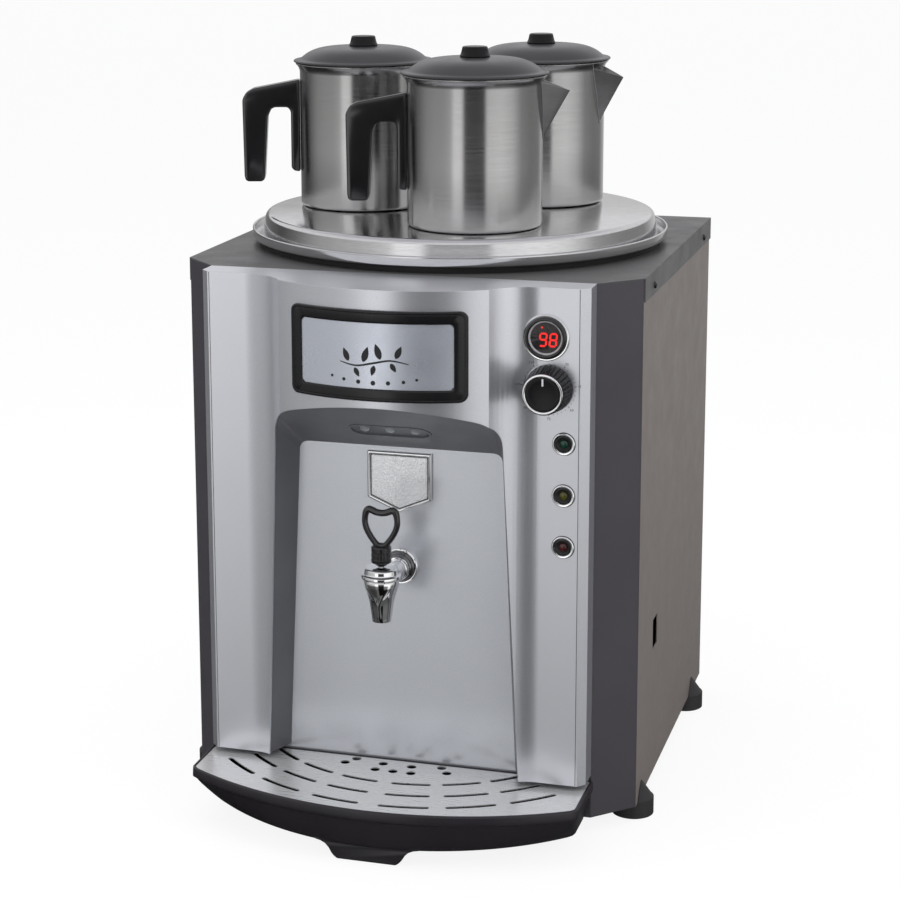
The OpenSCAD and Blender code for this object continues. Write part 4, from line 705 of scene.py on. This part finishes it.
for pot, (angle, turn) in POTS.items():
    rides, lid_rides = f"pot_{pot}", f"lid_{pot}"
    spot = (POT_RING * cosd(angle), TANK_Y + POT_RING * sind(angle))
    place, lid_place = at(*spot, POT_Z, turn), at(*spot, LID_Z, turn)
    body = make(f"teapot_{pot}_body", [revolve(POT_PROFILE, 128)], "pot", rides, [f"{pot}_pot"],
                place, shade=30)
    cut_strainer(body, place)
    make(f"teapot_{pot}_spout", [spout_sheet()], "spout", rides, (), place, shade=35)
    make(f"teapot_{pot}_seam", seam_lines(), "zinc", rides, (), place, shade=60)
    make(f"teapot_{pot}_handle", [prism(handle_outline(), -8.5, 8.5, "xz")], "black", rides,
         [f"{pot}_pot_handle"], place, bevel=2.2, limit=60, shade=25)
    make(f"teapot_{pot}_lid", [revolve(LID_PROFILE, 128)], "lid", lid_rides, [f"{pot}_pot_lid"],
         lid_place, shade=40)
    make(f"teapot_{pot}_lid_knob", [revolve(KNOB_PROFILE, 64)], "knob", lid_rides, [f"{pot}_pot_knob"],
         at(*spot, LID_Z + LID_LIP + DOME, turn), shade=30)


# ---------- tap ----------
BODY_TOP, BONNET_TOP = TAP_Z + 6, TAP_Z + 17
PIVOT_Z = BONNET_TOP + 8.6
TAP_PLACE = at(0, -TAP_Y, 0)
barrel_side = smooth_path([(9, 215), (9.9, 221), (10.9, 228), (12.1, 234.4), (13.9, 240.2), (15.5, 245.4),
                           (16, 249)], 4, False)
barrel = ([(5, 212), (8.2, 212), (8.8, 212.3), (9, 213)] + barrel_side
          + [(16, 251), (15.6, 251.8), (15, 252), (9, 252), (9, 240), (5, 240)])
neck = [(5.2, 0), (11.2, 0), (11.5, 0.5), (11.5, 3.4), (11, 4), (9.6, 4.2), (9.5, 5), (9.5, 44), (5.2, 44)]
shank = [(5.2, 0), (8, 0), (8, 34), (5.2, 34)]


def along_y(profile, y0, n=64):
    """Shell of a profile [(r, forward), ...] turned about the tap's axis to the front, from y0."""
    points, faces = revolve(profile, n)
    return [(p[0], y0 - p[2], TAP_Z + p[1]) for p in points], faces


def barrel_ridge(i, a):
    """Raised Y on the front of the barrel: two arms that meet in a rib."""
    r, z = barrel[i]
    if not 3 < i < len(barrel_side) + 4:
        return 0
    off = abs((math.degrees(a) - 270 + 180) % 360 - 180)
    arm = 44 * max(0.0, min(1.0, (z - 229) / 18))
    ends = min(1.0, (z - 213) / 4) * min(1.0, (250 - z) / 4)
    return 0.75 * math.exp(-(((off - arm) * r / 110) ** 2)) * ends


points, faces = revolve(barrel, 144, barrel_ridge)
barrel_shell = ([(p[0], p[1] - TAP_Y, p[2]) for p in points], faces)
tap_shells = [barrel_shell, along_y(neck, -9.1), along_y(shank, 24.5)]
make("tap_barrel", tap_shells, "chrome", "root", ["tap_body"], shade=28)
bonnet = [(2.45, BONNET_TOP), (13.0, BONNET_TOP), (14.2, BONNET_TOP - 0.35), (15.2, BONNET_TOP - 1.3),
          (15.6, BONNET_TOP - 2.6), (15.6, BODY_TOP + 6.4), (16.0, BODY_TOP + 5.6), (17.4, BODY_TOP + 5),
          (18.3, BODY_TOP + 4.3), (18.6, BODY_TOP + 3.2), (18.5, BODY_TOP + 1.8), (17.7, BODY_TOP + 0.6),
          (16.4, BODY_TOP + 0.1), (8.9, BODY_TOP + 0.05), (8.9, BODY_TOP - 5), (7.2, BODY_TOP - 5),
          (7.2, BONNET_TOP - 2), (2.45, BONNET_TOP - 2)]
make("tap_cap", [revolve(bonnet)], "chrome", "root", ["tap_bonnet"], TAP_PLACE, shade=28)
flange = [(14.4, 0), (16.6, 0), (17.3, 0.5), (17.5, 1.3), (17.4, 2.4), (16.9, 3.2), (16.1, 3.6), (15.2, 3.5),
          (14.6, 3.0)]
hub = [(8.1, 0), (14.4, 0), (14.5, 2.6), (14.2, 3.9), (13.6, 4.9), (13.1, 5.2), (12.7, 4.8), (12.3, 5.0),
       (12.2, 6.2), (11.8, 7.3), (11.0, 7.9), (9.8, 8), (8.1, 8)]
make("tap_flange", [along_y(flange, -1, 80)], "chrome", "root", ["tap_rosette"], shade=28)
# The hub is the same chrome as the flange, made dark as a painted reflection of a dark surrounding
make("tap_flange_hub", [along_y(hub, -1, 80)], "dark_chrome", "root", (), shade=28)

LOOP_LOW = PIVOT_Z + 11.6
half_loop = [(0, 0), (3.6, 0.5), (7.0, 4), (10.8, 9.5), (13.8, 15.3), (15.2, 21), (15.0, 26.8), (13.8, 31.2),
             (11.4, 33.5), (8.2, 32.6), (4.6, 31.2), (0, 30.6)]
loop_mid = half_loop + [(-x, z) for x, z in reversed(half_loop[1:-1])]
loop_path = smooth_path([(x, 0, LOOP_LOW + z) for x, z in loop_mid], 6)


def loop_size(i):
    """The loop's bar, which is a little thicker at its top."""
    return 2.75 + 0.5 * max(0.0, min(1.0, (loop_path[i][2] - LOOP_LOW - 26) / 6)), 3.3


collar = [(r, PIVOT_Z + z) for r, z in (
    (0, -8.2), (3.6, -7.6), (6.2, -5.6), (7.6, -4.2), (8.8, -4), (9.2, -3.5), (9.2, -0.6), (8.7, -0.2),
    (8.7, 0.8), (9.2, 1.2), (9.2, 4.4), (8.7, 4.8), (8.7, 5.8), (9.2, 6.2), (9.2, 10.5), (8.4, 11.4),
    (5.4, 12.7), (0, 12.9))]
collar_shell = revolve(collar, 72, lambda i, a: -0.35 * (math.cos(12 * a) > 0.55) if 4 < i < 14 else 0)
make("tap_handle", [sweep(loop_path, loop_size, 18), collar_shell], "black", "lever", ["tap_lever"],
     TAP_PLACE, shade=40)


# ---------- badge ----------
BADGE = [(-31, 311), (0, 298), (31, 311), (31, 356), (-31, 356)]


def badge_ring(inset, y):
    """The badge's outline at y, with its edges moved inwards by inset."""
    out = []
    for i, p in enumerate(BADGE):
        a, p, b = Vector(BADGE[i - 1]), Vector(p), Vector(BADGE[(i + 1) % len(BADGE)])
        u, v = (p - a).normalized(), (b - p).normalized()
        n1, n2 = Vector((-u.y, u.x)), Vector((-v.y, v.x))
        out.append(tuple(p + (n1 + n2) / (1 + n1.dot(n2)) * inset))
    return [(x, y, z) for x, z in rounded(out, 1.6, 4)]


rim_rings = [badge_ring(*p) for p in ((0, -1.05), (0, -3.9), (0.5, -4.9), (1.2, -5.4), (2.0, -5.5),
                                      (2.7, -5.2), (3.1, -4.5), (3.1, -3.6), (3.1, -1.05))]
line_rings = [badge_ring(*p) for p in ((3.0, -1.1), (3.0, -3.75), (4.1, -3.75), (4.1, -1.1))]
field_rings = [badge_ring(*p) for p in ((4.1, -1.1), (4.1, -4.0), (4.8, -4.5), (5.6, -4.6))]
make("badge_rim", [hoop(rim_rings)], "chrome", "root", ["badge"], shade=40)
make("badge_line", [hoop(line_rings)], "ink_black", "root", (), shade=30)
make("badge_field", [loft(field_rings)], "stipple", "root", (), shade=30)


# ---------- drip tray ----------
TRAY_HALF, TRAY_REACH, TRAY_R = 186, 127, 350
FOOT_HALF, FOOT_REACH, FOOT_R = 177, 117, 245
TRAY_BACK, TRAY_CORNER, BACK_CORNER, TRAY_POINTS = 1.3, 5, 0.8, 160


def resample(points, n):
    """n points evenly along a closed outline that starts at its first point."""
    p = [Vector(q) for q in points] + [Vector(points[0])]
    d = [0.0]
    for a, b in zip(p, p[1:]):
        d.append(d[-1] + (b - a).length)
    out, j = [], 0
    for i in range(n):
        t = d[-1] * i / n
        while d[j + 1] < t:
            j += 1
        f = (t - d[j]) / max(d[j + 1] - d[j], 1e-9)
        out.append(tuple(p[j].lerp(p[j + 1], f)))
    return out


def tray_ring(half, reach, r, z, inset):
    """Tray outline at one height: straight back and sides, round front, rounded front corners."""
    w, rr = half - inset, r - inset
    cy = rr - (reach - inset)
    a = math.asin(w / rr)
    front = [(rr * math.sin(t), cy - rr * math.cos(t)) for t in (-a + 2 * a * i / 40 for i in range(41))]
    corners = [(-w, -TRAY_BACK - inset)] + front + [(w, -TRAY_BACK - inset)]
    radii = [BACK_CORNER, TRAY_CORNER] + [0] * 39 + [TRAY_CORNER, BACK_CORNER]
    pts = []
    for i, p in enumerate(corners):
        if radii[i] == 0:
            # A point of the front is left out where a rounded corner takes its place
            near_end = i < 5 or i > len(corners) - 6
            if not near_end or math.dist(p, corners[1 if i < 9 else -2]) >= TRAY_CORNER * 0.9:
                pts.append(p)
            continue
        before, after = corners[i - 1], corners[(i + 1) % len(corners)]
        if radii[i] == TRAY_CORNER:
            j = i
            while math.dist(corners[j], p) < TRAY_CORNER and 0 < j < len(corners) - 1:
                j += 1 if i < 9 else -1
            side = (p[0], p[1] + TRAY_CORNER)
            before, after = (side, corners[j]) if i < 9 else (corners[j], side)
        before, after, q = Vector(before), Vector(after), Vector(p)
        pts += bend(q + (before - q).normalized() * radii[i], q, q + (after - q).normalized() * radii[i], 6)
    return resample([(x, y, z) for x, y in pts], TRAY_POINTS)


def rim(z, inset):
    return tray_ring(TRAY_HALF, TRAY_REACH, TRAY_R, z, inset)


def foot_at(f, z, inset=0.0):
    """Outline of the hull between the foot (f = 0) and the band's underside (f = 1)."""
    lo = tray_ring(FOOT_HALF, FOOT_REACH, FOOT_R, z, inset)
    hi = tray_ring(TRAY_HALF - 2, TRAY_REACH - 2, TRAY_R - 2, z, inset)
    return [tuple(Vector(a) * (1 - f) + Vector(b) * f) for a, b in zip(lo, hi)]


def leg_y(x, z):
    """Front face of the leg, which follows the round foot."""
    return FOOT_R - FOOT_REACH - 0.5 - math.sqrt(FOOT_R**2 - x * x) - 0.6 * sind(min(z, 15) * 6)


# Outside from the foot up to the band, the band and its inner edge, and the basin down to its bottom
outside = ((0, 14, 3.5), (0, 14.4, 1.6), (0.02, 15.6, 0.3), (0.12, 18), (0.35, 24), (0.58, 30.5), (0.8, 37),
           (0.95, 42.3))
band = ((43.6, 1.8), (44.2, 1.1), (44.7, 0.3), (45.6, 0), (48, 0.05), (52, 0.15), (53.2, 0.4), (53.8, 0.95),
        (54, 1.6), (53.9, 2.3), (53.5, 2.85), (52.6, 3), (51.85, 3), (51.85, 6.5), (44.6, 6.5))
basin = ((0.95, 42.6, 2.5), (0.5, 28, 2.5), (0.05, 17, 2.5), (0, 16.5, 4))
tray_rings = [foot_at(*p) for p in outside] + [rim(*p) for p in band] + [foot_at(*p) for p in basin]
half_leg = [(28, 0), (31, 2.2), (33.5, 5), (35.8, 9.2), (39.5, 12.8), (44, 14.6), (50, 15.4), (50, 19)]
leg = rounded([(-x, z) for x, z in half_leg] + half_leg[::-1], [4] + [0] * 14 + [4], 4)
leg_rings = [[(x, leg_y(x, z) + d, z) for x, z in leg] for d in (0, 0.6, 13.4, 14)]
tongues = [prism([(x - 10, -2.3), (x + 10, -2.3), (x + 10, 12.7), (x - 10, 12.7)], 30, 38)
           for x in (-120, 120)]
make("tray_basin", [loft(tray_rings)], "tray", "tray", ["drip_tray"], shade=38)
make("tray_leg", [loft(leg_rings)], "tray", "tray", (), bevel=1.0, segs=2, limit=50,
     shade=38)
make("tray_tongues", tongues, "tray", "tray", (), bevel=0.8, segs=2)


# ---------- sign ----------
SIGN_W, SIGN_H, SIGN_Z = 164, 82, 463
BORDER, SHEET_PROUD = 11.3, 1.6


def on_bulge(x, proud):
    """y of a point at x that stands proud of the bulge, along its own radius."""
    r = BULGE_R + proud
    return BULGE_R - BULGE_Y - math.sqrt(r * r - x * x)


def sign_ring(inset, proud, corner):
    """Rounded outline of the sign, inset and proud of the bulge, with close points along its level sides."""
    w, h = SIGN_W / 2 - inset - corner, SIGN_H / 2 - inset - corner
    pts = []
    for sx, sz, a0 in ((1, -1, -90), (1, 1, 0), (-1, 1, 90), (-1, -1, 180)):
        pts += circle(sx * w, sz * h, corner, range(a0, a0 + 91, 15))
    dense = []
    for i, p in enumerate(pts):
        q = pts[(i + 1) % len(pts)]
        n = 30 if i % 14 == 13 else 1
        dense += [(p[0] + (q[0] - p[0]) * k / n, p[1] + (q[1] - p[1]) * k / n) for k in range(n)]
    return [(x, on_bulge(x, proud), SIGN_Z + z) for x, z in dense]


def sheet_on_bulge(inset, lo, hi, corner):
    """Panel that follows the bulge, between two heights over it."""
    w, h, columns = SIGN_W / 2 - inset, SIGN_H / 2 - inset, 40
    grids = ([], [])
    for grid, proud in zip(grids, (hi, lo)):
        for i in range(columns + 1):
            x = -w + 2 * w * i / columns
            edge = max(0.0, corner - (w - abs(x)))
            top = h - (corner - math.sqrt(max(corner**2 - edge**2, 0)))
            grid.append([(x, on_bulge(x, proud), SIGN_Z - top), (x, on_bulge(x, proud), SIGN_Z + top)])
    return slab(*grids)


sign_rings = [sign_ring(*p) for p in (
    (0, 0.12, 7), (0, 2.2, 7), (0.35, 2.8, 6.8), (1.0, 3.1, 6.2), (1.9, 3.1, 5.6), (2.3, 2.75, 5.4),
    (2.9, 2.7, 5.2), (3.3, 3.0, 5.0), (BORDER - 1.6, 3.0, 3.6), (BORDER - 0.7, 2.8, 3.2), (BORDER, 2.2, 3.0),
    (BORDER, 0.12, 3.0))]
make("sign_border", [hoop(sign_rings)], "sign_black", "root", ["sign_frame"], shade=34)
make("sign_sheet", [sheet_on_bulge(BORDER + 0.1, 0.12, SHEET_PROUD, 3)], "sign", "root", ["sign_panel"],
     shade=30)


def leaf(cx, cz, length, width, turn):
    """Outline of one leaf: pointed at both ends, fuller near its foot."""
    c, s = cosd(turn), sind(turn)
    pts = []
    for side in (1, -1):
        for i in range(10):
            t = i / 10 if side == 1 else 1 - i / 10
            w = side * width / 2 * math.sin(math.pi * t**0.8) ** 0.9 if 0 < t < 1 else 0
            pts.append((cx + c * t * length - s * w, cz + s * t * length + c * w))
    return pts


def stroke(points, widths, n=6):
    """Outline of a drawn line through the points, with a width at each."""
    path = smooth_path(points, n, False)
    left, right = [], []
    for i, p in enumerate(path):
        a, b = path[max(i - 1, 0)], path[min(i + 1, len(path) - 1)]
        d = (Vector(b) - Vector(a)).normalized()
        f = i / (len(path) - 1) * (len(widths) - 1)
        k = min(int(f), len(widths) - 2)
        w = (widths[k] + (widths[k + 1] - widths[k]) * (f - k)) / 2
        left.append((p[0] - d.y * w, p[1] + d.x * w))
        right.append((p[0] + d.y * w, p[1] - d.x * w))
    return left + right[::-1]


# A sprig with leaves over a row of dots, drawn round the sign's middle and then enlarged
MOTIF_DOWN, MOTIF_SCALE = 4, 1.15
motif = [stroke([(-27, -6), (-14, -8.5), (0, -6), (14, -3.5), (28, -6)], [0.6, 1.3, 1.6, 1.3, 0.6])]
motif += [leaf(*p) for p in ((-20, -5.4, 11, 4.8, 112), (-8, -5.6, 13, 5.4, 72), (6, -3.0, 13, 5.4, 108),
                             (18, -1.9, 11, 4.8, 66), (-15, -10.2, 8, 4, -62), (1, -7.8, 8.5, 4.2, -104),
                             (14, -5.6, 8, 4, -58))]
motif += [circle(x, z, r, range(0, 360, 30)) for x, z, r in (
    (-34, -18, 1.1), (-24, -20, 1.4), (-12, -21.2, 1.7), (0, -21.6, 1.9), (12, -21.2, 1.7), (24, -20, 1.4),
    (34, -18, 1.1))]
motif = [[(MOTIF_SCALE * x, SIGN_Z - MOTIF_DOWN + MOTIF_SCALE * (z + MOTIF_DOWN)) for x, z in shape]
         for shape in motif]
decal("sign_motif", motif, lambda x: on_bulge(x, SHEET_PROUD), "print", thick=0.12)


# ---------- fascia ----------
# Painted shade: thin dark lines near each side of the fascia stand in for the shadow in its grooves, which
# aren't modelled
groove_shade_lines = [[(s * (FASCIA_HALF - dx), z) for dx, z in (
    (9, FASCIA_Z + 0.6), (8.3, FASCIA_Z + 0.6), (8.3, CAB_TOP - 0.6), (9, CAB_TOP - 0.6))] for s in (-1, 1)]
decal("fascia_groove_shade_lines", groove_shade_lines, front_at, "scale_ink", thick=0.05)


# ---------- controls ----------
GAUGE, KNOB = (144, 477), (147, 431)
LAMPS = {"green": (161, 381), "yellow": (161, 333.2), "red": (161, 285.4)}
FACE_Y = -PILASTER
DIAL_Y, WINDOW_Y = FACE_Y - 1, FACE_Y - 1.5
SCALE_START, SCALE_TURN = 55, 290


def front_piece(name, spot, profile, look, stands_for=(), body="root", y=FACE_Y, n=96,
                wave=None, shade=30):
    """Piece of a profile [(r, forward), ...] turned about an axis to the front at spot (x, z), from y."""
    place = at(spot[0], y, spot[1], facing=True)
    make(name, [revolve(profile, n, wave)], look, body, stands_for, place, shade=shade)


front_piece("gauge_rim", GAUGE, [(17.7, -9), (17.7, 0.4), (20.6, 0.4), (21.1, 0.7), (21.2, 1.3), (20.9, 1.9),
                                 (20.4, 2.2), (19.4, 2.1), (19.05, 1.6), (17.5, 1.6), (17.5, -9)],
            "chrome", ["gauge_bezel"])
front_piece("gauge_black_ring", GAUGE, [(17.4, -0.5), (18.8, 1.0), (19.0, 2.0), (18.9, 3.3), (18.3, 4.4),
                                        (17.5, 4.9), (16.6, 5), (15.9, 4.7), (15.55, 4.0), (15.5, 3.1),
                                        (15.5, -0.5)], "ink_black")
front_piece("gauge_inner_ring", GAUGE, [(15.45, -0.5), (15.45, 3.0), (15.0, 3.0), (14.0, 1.9), (13.9, -0.5)],
            "gauge_ring")
front_piece("gauge_window", GAUGE, [(0, -0.5), (15.4, -0.5), (15.4, 1.5), (0, 1.5)], "gauge_lens",
            ["gauge_lens"])


def seven(cx, cz, w, h, t, on):
    """Bars t thick of one seven-bar figure, 2 w wide and 2 h high, which leans a little to the right."""
    bars = {"a": (-w, h, 2 * w), "g": (-w, 0, 2 * w), "d": (-w, -h, 2 * w)}
    upright = {"f": (-w, 0, h), "b": (w, 0, h), "e": (-w, -h, h), "c": (w, -h, h)}
    out = []
    for k in on:
        x0, z0, length = (upright if k in upright else bars)[k]
        a0, a1, b = t * 0.08, length - t * 0.08, t / 2
        bar = [(a0, 0), (a0 + b, b), (a1 - b, b), (a1, 0), (a1 - b, -b), (a0 + b, -b)]
        pts = [(x0 - q, z0 + p) if k in upright else (x0 + p, z0 + q) for p, q in bar]
        out.append([(cx + x + z * 0.1, cz + z) for x, z in pts])
    return out


gx, gz = GAUGE
digits = [bar for x, on in ((gx - 2.4, "abcdfg"), (gx + 6.8, "abcdefg"))
          for bar in seven(x, gz - 1.8, 2.9, 5.6, 1.7, on)]
dot = circle(gx - 3.4, gz + 9.2, 0.9, range(0, 360, 30))
decal("gauge_digits", digits + [dot], lambda x: WINDOW_Y, "digit", thick=0.12)

knob_body = [(3.1, 0), (20.6, 0), (21.5, 0.4), (21.8, 1.3), (21.5, 4), (20.9, 9), (20.3, 14), (19.7, 19),
             (19.2, 22.6), (18.9, 24.0), (18.5, 24.3), (15.7, 24.3), (15.7, 25.2), (15.2, 25.35), (12, 24.9),
             (7, 24.45), (0, 24.3), (0, 15.4), (3.1, 15.4)]
front_piece("knob_body", KNOB, knob_body, "knob", ["knob"], "dial", DIAL_Y, 240,
            lambda i, a: -1.15 * max(0.0, math.cos(30 * a)) ** 3 if 2 < i < 9 else 0, 35)
front_piece("knob_trim", KNOB, [(15.8, 24.35), (18.2, 24.35), (18.4, 24.7), (18.4, 25.2), (18.1, 25.7),
                                (17.5, 26), (16.8, 26), (16.2, 25.75), (15.85, 25.3)], "chrome",
            ["knob_ring"], "dial", DIAL_Y)
kx, kz = KNOB
pointer = rounded([(-0.75, 7.6), (0.75, 7.6), (0.75, 14.2), (-0.75, 14.2)], 0.4, 3)
make("knob_pointer", [prism(pointer, 24.45, 25.35)], "white_ink", "dial", (),
     at(kx, DIAL_Y, kz, facing=True))

marks = []
for k in range(31):
    long_mark = k % 5 == 0
    r0, r1, w = (23.4, 25.2, 0.26) if long_mark else (23.4, 24.6, 0.16)
    c, s = cosd(SCALE_START - k * SCALE_TURN / 30), sind(SCALE_START - k * SCALE_TURN / 30)
    corners = ((r0, w), (r0, -w), (r1, -w), (r1, w))
    marks.append([(kx + r * c - q * s, kz + r * s + q * c) for r, q in corners])
for k, label in enumerate(("30", "45", "60", "75", "90", "100", "110")):
    marks += figure_outlines(label, 3.4, *circle(kx, kz, 27.9, [SCALE_START - k * SCALE_TURN / 6])[0])
decal("knob_scale", marks, front_at, "scale_ink", lift=0.03, thick=0.08, step=1.5)

LAMP_BEZEL = [(6.6, -11), (7.4, -11), (7.4, 0), (9.6, 0.1), (10.1, 0.5), (10.25, 1.1), (10.05, 1.7),
              (9.5, 2.1), (8.6, 2.1), (7.9, 1.8), (7.6, 1.2), (6.6, 1.0)]
LAMP_COLLAR = [(6.55, -2), (7.3, 0.2), (7.55, 1.2), (7.5, 1.9), (7.2, 2.3), (6.9, 2.35), (6.65, 2.1),
               (6.55, 1.6)]
# A thin dark washer under each bezel: partly a real washer, partly painted shade for the contact shadow round
# the bezel
LAMP_SHADOW_WASHER = [(9.5, -0.2), (10.7, -0.2), (10.7, 0.3), (10.3, 0.45), (9.5, 0.45)]
LAMP_SEAT = [(6.45, -6), (6.45, 1.4), (4.6, -0.4), (4.2, -0.4), (4.2, -6)]
LAMP_LENS = ([(0, -20.4), (4.1, -20.4)]
             + [(4.1 * cosd(a), -0.6 + 2.3 * sind(a)) for a in (0, 15, 30, 45, 60, 75)] + [(0, 1.7)])
for color, spot in LAMPS.items():
    lamp = f"lamp_{color}"
    front_piece(f"{lamp}_bezel", spot, LAMP_BEZEL, "chrome", ["lamp_bezels"])
    front_piece(f"{lamp}_collar", spot, LAMP_COLLAR, "ink_black")
    front_piece(f"{lamp}_shadow_washer", spot, LAMP_SHADOW_WASHER, "rubber")
    front_piece(f"{lamp}_seat", spot, LAMP_SEAT, "matte")
    front_piece(f"{lamp}_lens", spot, LAMP_LENS, color, [lamp], n=48)


# ---------- small screws ----------
def screw_shell(place):
    """Pan head with a cross recess and a short shank, standing on z = 0 of its own frame."""
    n = 48
    angles = [2 * math.pi * k / n for k in range(n)]
    rings = [[(r * math.cos(t), r * math.sin(t), z) for t in angles]
             for r, z in ((2.0, -9), (2.0, 0), (3.3, 0), (3.3, 0.7), (3.0, 1.5), (2.3, 1.95))]
    for size, arm, z in ((1.75, 0.42, 2.1), (1.6, 0.36, 1.2), (0.4, 0.3, 0.7)):
        cross = []
        for t in angles:
            r = min(size, arm / max(min(abs(math.cos(t)), abs(math.sin(t))), 1e-6))
            cross.append((r * math.cos(t), r * math.sin(t), z))
        rings.append(cross)
    pts, faces = loft(rings)
    return [tuple(place @ Vector(p)) for p in pts], faces


def facing_matrix(spot, axis, turn):
    """Matrix in mm of a screw at spot whose head points along axis."""
    m = Vector((0, 0, 1)).rotation_difference(Vector(axis)).to_matrix().to_4x4()
    return Matrix.Translation(Vector(spot)) @ m @ Matrix.Rotation(math.radians(turn), 4, "Z")


# Where each head sits and points to: on the sides, on the back, and inside the front panel
SCREWS = ([((s * CAB_HALF, y, 508), (s, 0, 0)) for s in (-1, 1) for y in (83, 366)]
          + [((s * 210.4, 410.7, z), (0, 1, 0)) for s in (-1, 1) for z in (76, 462)]
          + [((s * 150, 1.2, z), (0, 1, 0)) for s in (-1, 1) for z in (90, 510)])
screws = [screw_shell(facing_matrix(spot, axis, 23 * i)) for i, (spot, axis) in enumerate(SCREWS)]
make("cabinet_screws", screws, "black", "root", ["panel_screws"])


# ---------- camera, light, floor ----------
scene = bpy.context.scene
yaw, pitch, roll = 16.72, 11.38, -0.3
cam_at = Vector((577.5, -1925 - MID_Y, 880.4)) * MM
ahead = Vector((-sind(yaw) * cosd(pitch), cosd(yaw) * cosd(pitch), -sind(pitch)))
level = Vector((cosd(yaw), sind(yaw), 0))
right = level * cosd(roll) + level.cross(ahead) * sind(roll)
camera_data = bpy.data.cameras.new("camera")
camera_data.lens, camera_data.sensor_width = 89.65, 36
camera_data.shift_x, camera_data.shift_y = 0.0567, -0.1401
camera = add("camera", camera_data)
turned = Matrix((right, right.cross(ahead), -ahead)).transposed().to_4x4()
camera.matrix_world = Matrix.Translation(cam_at) @ turned
scene.camera = camera
scene.view_settings.view_transform = "Standard"


def area_light(name, place, aim, size, power):
    """A soft light that reflections don't show."""
    data = bpy.data.lights.new(name, "AREA")
    data.shape, data.size, data.size_y, data.energy = "RECTANGLE", size[0], size[1], power
    o = add(name, data)
    o.location = place
    o.rotation_euler = (Vector(aim) - Vector(place)).to_track_quat("-Z", "Y").to_euler()
    o.visible_glossy = False


area_light("top_softbox", (-0.3, -0.4, 2.6), (0, 0, 0.3), (2.2, 1.8), 22)
area_light("left_softbox", (-2.4, -1.6, 1.3), (0, 0, 0.35), (0.9, 1.9), 12)
area_light("right_softbox", (1.9, -0.5, 1.7), (0, 0, 0.45), (0.7, 1.3), 11)

# Brightness of the studio round the object, by azimuth from the front towards the right
ROUND = [(-180, 0.6), (-166, 0.58), (-150, 0.2), (-111, 0.08), (-95, 0.17), (-75, 0.38), (-57, 0.46),
         (-40, 0.5), (-26, 0.65), (-21, 1.25), (-7, 1.25), (-3, 0.05), (31, 0.05), (35, 1.05), (46, 1.05),
         (60, 1.1), (80, 0.85), (100, 0.36), (123, 0.26), (150, 0.26), (166, 0.5), (180, 0.6)]
# How much of it is left towards the floor, by the direction's height from -1 to 0
BELOW = [(-0.65, 0.08), (-0.4, 0.21), (-0.33, 0.34), (-0.27, 0.58), (-0.2, 1.0)]
# Where the sky starts over it, and where the sky gets darker, by the direction's height
SKY, OVERHEAD = (0.13, 0.19), (0.5, 0.8)

world = bpy.data.worlds.new("studio")
scene.world = world
world.use_nodes = True
world.node_tree.nodes.clear()
w = Graph(world.node_tree)


def share_of(value, limits):
    """0 at the first limit, 1 at the second."""
    return w.node("ShaderNodeMapRange", i0=value, i1=limits[0], i2=limits[1], i3=0.0, i4=1.0).outputs[0]


dir_x, dir_y, height = w.node("ShaderNodeSeparateXYZ",
                              i0=w.node("ShaderNodeTexCoord").outputs["Generated"]).outputs
to_front = w.node("ShaderNodeMath", "MULTIPLY", i0=dir_y, i1=-1.0).outputs[0]
azimuth = w.node("ShaderNodeMath", "ARCTAN2", i0=dir_x, i1=to_front).outputs[0]
turn = w.node("ShaderNodeMath", "MULTIPLY_ADD", i0=azimuth, i1=1 / (2 * math.pi), i2=0.5).outputs[0]
bands = w.levels(turn, [(angle / 360 + 0.5, value) for angle, value in ROUND])
down = w.node("ShaderNodeMath", "MULTIPLY_ADD", i0=height, i1=1.0, i2=1.0).outputs[0]
fade = w.levels(down, [(z + 1, value) for z, value in BELOW])
low_part = w.mix(1.0, bands, fade, "MULTIPLY")
sky_part = w.mix(share_of(height, OVERHEAD), (0.8, 0.8, 0.82), (0.57, 0.56, 0.6))
# Reflections see the studio, diffuse light comes from an even fill, and the camera sees white
rays = w.node("ShaderNodeLightPath").outputs
mirrored = w.node("ShaderNodeMath", "MAXIMUM", i0=rays["Is Glossy Ray"], i1=rays["Is Transmission Ray"])
looks = w.node("ShaderNodeBackground", i0=w.mix(share_of(height, SKY), low_part, sky_part), i1=1.0)
fill = w.node("ShaderNodeBackground", i0=(0.95, 0.97, 1.0, 1), i1=0.6)
white = w.node("ShaderNodeBackground", i0=(1, 1, 1, 1), i1=1.0)
seen = w.node("ShaderNodeMixShader", i0=mirrored.outputs[0], i1=fill.outputs[0], i2=looks.outputs[0])
both = w.node("ShaderNodeMixShader", i0=rays["Is Camera Ray"], i1=seen.outputs[0], i2=white.outputs[0])
w.node("ShaderNodeOutputWorld", i0=both.outputs[0])

# The floor takes soft shadows and is almost white to the camera
ground = Mat("white_floor", (0.95, 0.95, 0.95), 0.7)
glow = ground.node("ShaderNodeEmission", i1=1.04)
to_camera = ground.node("ShaderNodeLightPath").outputs["Is Camera Ray"]
share = ground.node("ShaderNodeMath", "MULTIPLY", i0=to_camera, i1=0.85)
mixed = ground.node("ShaderNodeMixShader", i0=share.outputs[0], i1=ground.b.outputs[0], i2=glow.outputs[0])
ground.put(ground.t.nodes["Material Output"], "i0", mixed.outputs[0])
disc = bmesh.new()
bmesh.ops.create_circle(disc, cap_ends=True, segments=96, radius=60)
floor = add("floor", mesh_of("floor", disc, ground.m))
floor.location.z = -0.0003
floor.visible_glossy = False
